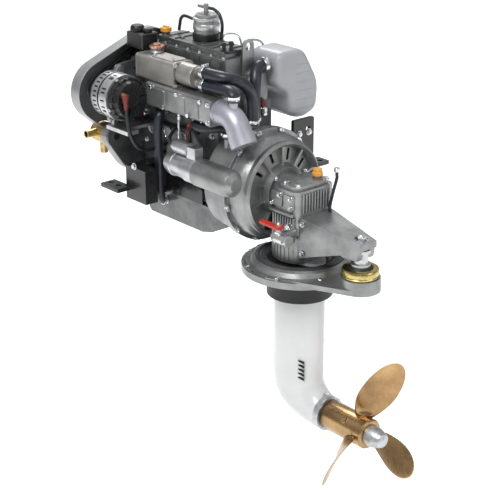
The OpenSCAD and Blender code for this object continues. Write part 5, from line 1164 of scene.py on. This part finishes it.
@dataclass
class Isolator:
    """The gearcase's rubber mount: a yellow-plated cup, its rubber, an alloy neck and a nut on top."""

    place: tuple[float, float, float] = (199.0, 0.0, 0.0)
    seat: float = 41.0
    r: float = 43.0
    cup_h: float = 22.0
    neck_r: float = 23.0
    arm_z: tuple[float, float] = (107.5, 127.0)

    def build(self) -> None:
        """Turns the cup, the rubber and the neck, and seats the nut."""
        z, r, n = self.seat, self.r, self.neck_r
        rim = z + self.cup_h
        low, high = self.arm_z
        cup = [(z + 0.3, 0), (z + 0.3, r - 1.5), (z + 1.5, r), (z + 4, r), (z + 5.5, r - 1.2), (z + 7, r - 1.4),
               (z + 9, r - 1.2), (z + 10, r), (rim - 5, r), (rim - 1.5, r - 1.5), (rim, r - 5), (rim, n + 8),
               (rim - 2, n + 7), (rim - 2, 0)]
        rubber = [(rim - 2, 0), (rim - 2, n + 6.5), (rim + 2.5, n + 4), (rim + 5, n + 1), (rim + 5, 0)]
        neck = [(rim + 3, 0), (rim + 3, n - 1), (rim + 4.5, n), (rim + 10, n), (rim + 11, n - 6),
                (low - 9, n - 6), (low - 8, n - 1), (low - 1, n - 1), (low - 0.2, n - 2), (low - 0.2, 0)]
        piece("isolator_cup", turned_part(cup, Axis.Z, self.place, 72), YELLOW_PLATE,
              replaces=["rear_isolator"])
        piece("isolator_rubber", turned_part(rubber, Axis.Z, self.place, 48), SOFT_RUBBER)
        piece("isolator_neck", turned_part(neck, Axis.Z, self.place, 56), DIE_CAST)
        piece("isolator_nut", hex_bolt((*self.place[:2], high), UP, 12, 9, 1.5), PLATED)


@dataclass
class GearCaseDress:
    """Fins, cover plates, bosses and screws of the gear case, and the screws of its arm."""

    front: float = -48.0
    aft: float = 50.0
    half_w: float = 62.0
    fins: int = 9
    aft_fins: int = 10
    bosses: tuple = ((-28.0, 174), (-2.0, 198), (36.0, 174), (36.0, 196))
    lid_screws: tuple = ((-36, -46, 222), (-36, 46, 222), (38, -46, 222), (38, 46, 222), (0, -50, 222),
                         (0, 50, 222))

    def build(self) -> None:
        """Makes the cast details as one piece and the screws as another."""
        y, front, aft = -self.half_w, self.front, self.aft
        cast = [block((x, y - 5.5, 92), (x + 3.5, y + 2, 150), 1.4, Axis.Z, 0.8)
                for x in (front + 22 + 8.5 * i for i in range(self.fins))]
        cast += [block((front + 12, y - 7, 152), (aft - 6, y + 2, 160), 3, Axis.Y, 1.2),
                 block((front + 14, y - 4, 168), (front + 52, y + 2, 204), 6, Axis.Y, 1.2),
                 block((front + 56, y - 3, 168), (aft - 8, y + 2, 202), 5, Axis.Y, 1.2)]
        boss = turned_part([(0, 0), (0, 8), (5, 6), (6, 5), (6, 0)], sides=28)
        cast += [along_segment(boss, (x, y, z), PORT) for x, z in self.bosses]
        cast += [block((aft - 2, -44 + 9 * i, 158), (aft + 4.5, -40.5 + 9 * i, 206), 1.2, Axis.Z, 0.8)
                 for i in range(self.aft_fins)]
        piece("gear_case_ribs", cast, GREY_CASTING)
        screws = hex_bolts([(x, y - 6, z) for x, z in self.bosses], PORT, 4.6, 4)
        screws += hex_bolts(self.lid_screws, UP, 4.8, 4.5)
        for side, way in ((-52.2, PORT), (52.2, STARBOARD)):
            screws += hex_bolts([(aft + 10, side, z) for z in (138, 66)], way, 5.2, 4.5)
        piece("gear_case_screws", screws, PLATED)
        piece("gear_case_plug", hex_bolt((aft - 20, y - 2, 126), PORT, 8, 6), PLATED)


@dataclass
class ValveCoverDress:
    """Ribs, webs and screws of the valve cover, the thermostat box's caps and the glow plug rail."""

    x: tuple[float, float] = (-492.0, -214.0)
    y: tuple[float, float] = (-54.0, 46.0)
    shoulder: float = 471.5
    top: float = 487.5
    count: int = 7
    rail: tuple = ((-470, 58, 470), (-440, 62, 476), (-390, 62, 474), (-350, 62, 478), (-300, 62, 474),
                   (-252, 60, 472))

    def build(self) -> None:
        """Makes the ribs, the webs of the port side, the shoulder screws and the top's caps."""
        x, y0, y1 = self.x[0], *self.y
        count = range(self.count)
        ribs = [block((x + 40 + 34 * i, y0 + 14, self.top - 1), (x + 46 + 34 * i, y1 - 14, self.top + 3.2), 2.4)
                for i in count if i not in (2, 3)]
        ribs += [block((x + 22 + 40 * i, y0 - 2.8, 428), (x + 28 + 40 * i, y0 + 3, 468), 2) for i in count]
        piece("valve_cover_ribs", ribs, DARK_CASTING)
        places = [(x + 6 + 44 * i, side, self.shoulder) for i in count for side in (y0 + 5, y1 - 5)]
        piece("valve_cover_screws", hex_bolts(places, UP, 3.8, 3.6), PLATED)
        wide = [(500, 0), (500, 17), (504, 18), (512, 17), (516, 14), (517, 0)]
        narrow = [(500, 0), (500, 11), (503, 12), (509, 12), (511, 9), (511, 0)]
        caps = [block((-517, -113, 463), (-453, -63, 501), 6, Axis.Z, 2.5),
                turned_part(wide, Axis.Z, (-498, -92, 0), 36), turned_part(narrow, Axis.Z, (-468, -84, 0), 32)]
        piece("thermostat_cap", caps, BLACK_NYLON)
        piece("glow_plug_rail", cable(self.rail, 8, 2.4, 10), PLATED, sharp=80)


@dataclass
class FuelFilterDress:
    """The fuel filter's dark skirt, bright bands and three lid screws."""

    place: tuple[float, float, float] = (-352.0, 8.0, 0.0)
    r: float = 31.0
    low: float = 499.5
    high: float = 545.5
    screw_circle: float = 20.0
    screw_turns: tuple[float, ...] = (0.6, 2.7, 4.8)

    def build(self) -> None:
        """Turns the skirt and the bands and seats the screws."""
        r, z, top = self.r, self.low, self.high
        skirt = [(z - 10, r - 2), (z - 10, r + 2), (z - 8, r + 3), (z + 6, r + 3), (z + 8, r + 1.5),
                 (z + 8, r - 2)]
        band = [(z + 16, r - 1), (z + 16, r + 1.4), (z + 17, r + 2), (z + 30, r + 2), (z + 31, r + 1.4),
                (z + 31, r - 1)]
        rim = [(top - 7, r - 2), (top - 7, r + 1.8), (top - 4, r + 2.6), (top - 1, r + 1.8), (top + 0.5, r - 2)]
        piece("fuel_filter_skirt", ring_part(skirt, Axis.Z, self.place), BLACK_NYLON)
        piece("fuel_filter_band", [ring_part(profile, Axis.Z, self.place) for profile in (band, rim)], DIE_CAST)
        screws = on_circle(self.screw_circle, self.screw_turns, top)
        piece("fuel_filter_screws", hex_bolts(shifted(screws, self.place), UP, 3.6, 3.4), PLATED)


@dataclass
class Mountings:
    """The mounting ring's folded diaphragm and bolts, and the bolts of the black brackets."""

    circle: float = 131.0
    ring_top: float = 16.0
    bolts: int = 8
    aft_bracket: tuple = ((-135, 118, 276), (-135, 118, 232), (-135, 150, 276))
    front_bracket: tuple[float, float, float] = (-395, -190, 196)

    def build(self) -> None:
        """Makes the folds as a lathe form and seats the bolts."""
        folds = [(26, 74), (29, 76), (27.5, 79), (31, 81.5), (29, 84), (33, 87), (31, 90), (34.5, 94), (33, 98),
                 (35.5, 102), (34, 105), (33, 105), (28, 96), (24, 84), (22, 74)]
        piece("diaphragm_folds", ring_part(folds, Axis.Z, sides=96), DIAPHRAGM)
        places = on_circle(self.circle, np.radians(spread(self.bolts, 22.5)), self.ring_top)
        piece("ring_bolts", hex_bolts(places, UP, 6, 4.5), PLATED)
        bolts = hex_bolts(self.aft_bracket, AFT, 6.5, 5) + [hex_bolt(self.front_bracket, PORT, 6.5, 5)]
        piece("bracket_bolts", bolts, PLATED)


def ring_frame(low: Point, high: Point, axis: Axis, span: Point, corner: float, proud: float) -> Shape:
    """A band round a box: the outer outline stands proud of the box by a height, and the inner lies inside it.

    Args:
        low: The box's low corner on the two axes square to the axis.
        high: Its high corner.
        axis: The axis the band surrounds.
        span: The band's place along it.
        corner: Radius of the box's corners.
        proud: Height over the box.

    Returns:
        A closed band.
    """
    outline = rounded_outline(low, high, corner, 8)
    inner, edge, outer = (inset(outline, depth) for depth in (2, -proud + 0.5, -proud))
    rows = [(span[0], inner), (span[0], edge), (span[0] + 0.6, outer), (span[1] - 0.6, outer), (span[1], edge),
            (span[1], inner)]
    return grid(stacked(rows, axis), hoop=True)


@dataclass
class ExhaustDress:
    """The exhaust manifold's raised panels and end flange, and the coolant tank's seams, lid and neck."""

    manifold_x: tuple[float, float] = (-405.0, -159.0)
    manifold_z: tuple[float, float] = (340.0, 400.0)
    manifold_y: tuple[float, float] = (-140.0, -87.0)
    tank_x: tuple[float, float] = (-452.0, -304.0)
    tank_y: tuple[float, float] = (-134.0, -74.0)
    tank_z: tuple[float, float] = (400.0, 460.0)
    neck: tuple[float, float, float] = (-424.0, -90.0, 0.0)

    def build(self) -> None:
        """Makes the manifold's details, then the tank's."""
        x0, x1 = self.manifold_x
        z0, z1 = self.manifold_z
        y, inner = self.manifold_y
        cast = [block((x0 + 14, y - 2.2, z0 + 9), (x0 + 74, y + 2, z1 - 9), 8, Axis.Y),
                block((x0 + 86, y - 2.2, z0 + 9), (x0 + 150, y + 2, z1 - 9), 8, Axis.Y),
                block((x1 - 58, y - 3.0, z0 + 6), (x1 - 46, y + 2, z1 - 6), 3, Axis.Y, 1.2),
                block((x1 - 14, y - 4.0, z0 - 2.5), (x1 + 0.3, inner, z1 + 0.5), 6, Axis.X, 1.2)]
        piece("manifold_panels", cast, GREY_CASTING)
        places = [(x1 - 7, y - 4, z) for z in (z0 + 8, z1 - 10)]
        piece("manifold_flange_screws", hex_bolts(places, PORT, 4.4, 4), PLATED)
        self.tank()

    def tank(self) -> None:
        """The seams round the tank's ends, its lid, the screws and the neck's collar."""
        (t0, t1), (u0, u1), (w0, w1) = self.tank_x, self.tank_y, self.tank_z
        seams = [ring_frame((u0, w0), (u1, w1), Axis.X, (t1 - 5, t1 + 1), 9, 1.6),
                 ring_frame((u0, w0), (u1, w1), Axis.X, (t0 - 0.5, t0 + 4), 9, 1.2),
                 block((t0 + 52, u0 + 8, w1 - 1), (t1 - 12, u1 - 8, w1 + 3), 5)]
        piece("tank_seams", seams, WARM_CASTING)
        ends = [(t1 + 0.5, y, z) for y, z in ((u0 + 6, w1 - 6), (u0 + 6, w0 + 6), (u1 - 6, w1 - 6))]
        lid = [(x, u0 + 14, w1 + 3) for x in (t0 + 60, t1 - 20)]
        piece("tank_screws", hex_bolts(ends, AFT, 4.2, 4) + hex_bolts(lid, UP, 3.8, 3.4), PLATED)
        collar = [(w1 + 1, 14.5), (w1 + 1, 17.5), (w1 + 3, 18), (w1 + 5, 17), (w1 + 6, 14.5)]
        piece("tank_neck_collar", ring_part(collar, Axis.Z, self.neck, 40), DIE_CAST)


@dataclass
class SeaCockDress:
    """The sea cock's hexagons and the hub and nut of its red lever."""

    y: float = -112.0
    z: float = 116.0
    x: tuple[float, float] = (28.0, 80.0)
    lever_x: float = 45.0

    def build(self) -> None:
        """Makes the bright fittings on the body and the hub on the lever."""
        x0, x1 = self.x
        y, z, at = self.y, self.z, self.lever_x
        fittings = [hexagon((y, z), 14.5, Axis.X, (x0 + 4, x0 + 13), 1.2),
                    hexagon((y, z), 14.5, Axis.X, (x1 - 14, x1 - 5), 1.2),
                    hexagon((at, y), 9.5, Axis.Z, (z + 11, z + 17), 1.0)]
        piece("sea_cock_fittings", fittings, PLATED)
        hub = [(144, 0), (144, 11), (146, 11.5), (148, 10.5), (149, 8), (149, 0)]
        piece("sea_cock_lever_hub", turned_part(hub, Axis.Z, (at, y, 0), 32), RED_PLASTIC, "sea_cock_handle")
        piece("sea_cock_lever_nut", hex_bolt((at, y, 148.6), UP, 5, 4), PLATED, "sea_cock_handle")


@dataclass
class StarterDress:
    """The starter's bands, through bolts, terminals and cable."""

    centre: tuple[float, float, float] = (0.0, -132.15, 214.18)
    x: tuple[float, float] = (-312.0, -246.0)
    r: float = 28.0
    terminals: tuple = ((-296, -6, 50), (-296, 7, 40))
    lead: tuple = ((-303, -6, 50), (-312, -10, 52), (-322, -4, 62), (-330, 18, 74), (-336, 38, 76))

    def build(self) -> None:
        """Makes the bands, the studs and the cable."""
        _, y, z = self.centre
        (x0, x1), r = self.x, self.r
        fore = [(x0 + 8, r - 1), (x0 + 8, r + 1.0), (x0 + 9, r + 1.6), (x0 + 17, r + 1.6), (x0 + 18, r + 1.0),
                (x0 + 18, r - 1)]
        back = [(x1 - 12, r - 1), (x1 - 12, r + 1.2), (x1 - 2, r + 1.2), (x1 - 2, r - 1)]
        bands = [ring_part(band, origin=self.centre, sides=56) for band in (fore, back)]
        piece("starter_bands", bands, DIE_CAST)
        ends = [(x0, y + 18 * math.cos(a), z + 18 * math.sin(a)) for a in (0.8, 3.9)]
        studs = hex_bolts(ends, FORE, 3.6, 3.6)
        studs += hex_bolts(shifted(self.terminals, self.centre), FORE, 5, 5)
        piece("starter_studs", studs, BRASS)
        piece("starter_cable", cable(shifted(self.lead, self.centre), 8, 4.4, 16), BLACK_NYLON, sharp=80)


@dataclass
class TopGear:
    """The dark sleeves and senders that stand at the head's aft end."""

    stalks: tuple = ((-236, -34, 508), (-222, -24, 512), (-232, -14, 506))

    def build(self) -> None:
        """Makes three stepped stalks on a bridge."""
        stalks = [turned_part([(486, 0), (486, 6), (492, 6), (493, 4.2), (top - 8, 4.2), (top - 7, 6),
                               (top - 1, 6), (top, 4.5), (top, 0)], Axis.Z, (x, y, 0), 24)
                  for x, y, top in self.stalks]
        piece("head_senders", stalks + [block((-244, -42, 484), (-214, -8, 491), 5, Axis.Z, 1.2)], BLACK_NYLON)


@dataclass
class StarboardSide:
    """The block's starboard side and front: plugs, ribs, rail bolts, oil filter and belt cover pressings."""

    block_y: float = 85.0
    block_x: tuple[float, float] = (-500.0, -200.0)
    rail_z: float = 121.0
    rail_pitch: float = 38.0
    plug_x: tuple[float, ...] = (-452, -378, -304, -236)
    plug_z: float = 318.0
    cover_face: float = -551.9
    pressings: tuple = ((0, 180, 48), (-184, 360, 30), (-33, 424, 42))
    cover_screws: tuple = ((-60, 300), (-104, 250), (-120, 410), (12, 330))
    filter_place: tuple[float, float, float] = (-280.0, 0.0, 158.0)
    filter_r: float = 37.0
    filter_l: float = 90.0

    def build(self) -> None:
        """Makes the plugs, the ribs, the bolts of both sides, the cover's rings and the oil filter's can."""
        y = self.block_y
        x0, x1 = self.block_x
        plug = core_plug(16, -0.5, 13.4)
        places = [(x, y, self.plug_z) for x in self.plug_x]
        piece("starboard_core_plugs", [along_segment(plug, place, STARBOARD) for place in places], PLATED)
        ribs = [block((x, y - 1, 150), (x + 6, y + 4.5, 300), 2.4, Axis.Z, 1.2)
                for x in (x0 + 136, x0 + 176, x1 - 60)]
        ribs += [block((x0 + 4, y - 1, z), (x1 - 4, y + 4, z + 6), 2, Axis.X, 1.2) for z in (134, 346)]
        piece("block_ribs", ribs, DARK_CASTING)
        rail = [(x0 + 16 + self.rail_pitch * i, y, self.rail_z) for i in range(8)]
        bolts = hex_bolts(rail[:6], STARBOARD, 4.8, 4.4)
        for x, _, z in rail[6:]:
            bolts += [hex_bolt((x, -y, z), PORT, 4.8, 4.4), hex_bolt((x, y, z), STARBOARD, 4.8, 4.4)]
        bolts += hex_bolts([(x0 + 20 + 65 * i, y, 354) for i in range(5)], STARBOARD, 4.8, 4.4)
        piece("block_rail_bolts", bolts, PLATED)
        self.cover()
        self.oil_filter()
        screws = hex_bolts([(self.cover_face, *place) for place in self.cover_screws], FORE, 5, 4)
        piece("belt_cover_screws", screws, PLATED)

    def cover(self) -> None:
        """The rings that are pressed into the belt cover round its pulleys."""
        base, crest, top = self.cover_face + 0.6, self.cover_face - 1.2, self.cover_face - 1.8
        rings = [ring_part([(base, r - 6), (crest, r - 4.5), (top, r), (crest, r + 4.5), (base, r + 6)],
                           origin=(0, y, z), sides=72) for y, z, r in self.pressings]
        piece("belt_cover_pressings", rings, GREY_PRESSING)

    def oil_filter(self) -> None:
        """The spin-on can: a base, a rolled seam and a domed end with a dimple."""
        y, r = self.block_y, self.filter_r
        end = y + self.filter_l
        can = [(y, 0), (y, r - 7), (y + 12, r - 7), (y + 12, r - 1), (y + 13.5, r), (y + 17, r),
               (y + 18.5, r - 1.6), (y + 22, r - 1.6), (end - 20, r - 1.6), (end - 7, r - 2.4),
               (end - 3, r - 4.6), (end - 0.8, r - 9), (end, r - 15), (end, 12), (end - 1.2, 10),
               (end - 1.2, 0)]
        piece("oil_filter_can", turned_part(can, Axis.Y, self.filter_place, 64), BLACK_ENAMEL,
              replaces=["oil_filter"])


def main() -> None:
    """Builds the stage and every sub-assembly in order."""
    logging.basicConfig(level=logging.INFO, format="%(message)s")
    Studio().build()
    for part in (Castings(), Leg(), Propeller(), Hoses(), InjectorPipes(), Alternator(), PortSide(), Fixings(),
                 Silencer(), Isolator(), GearCaseDress(), ValveCoverDress(), FuelFilterDress(), Mountings(),
                 ExhaustDress(), SeaCockDress(), StarterDress(), TopGear(), StarboardSide()):
        part.build()
        LOG.info("built %s", type(part).__name__)


if __name__ == "__main__":
    main()
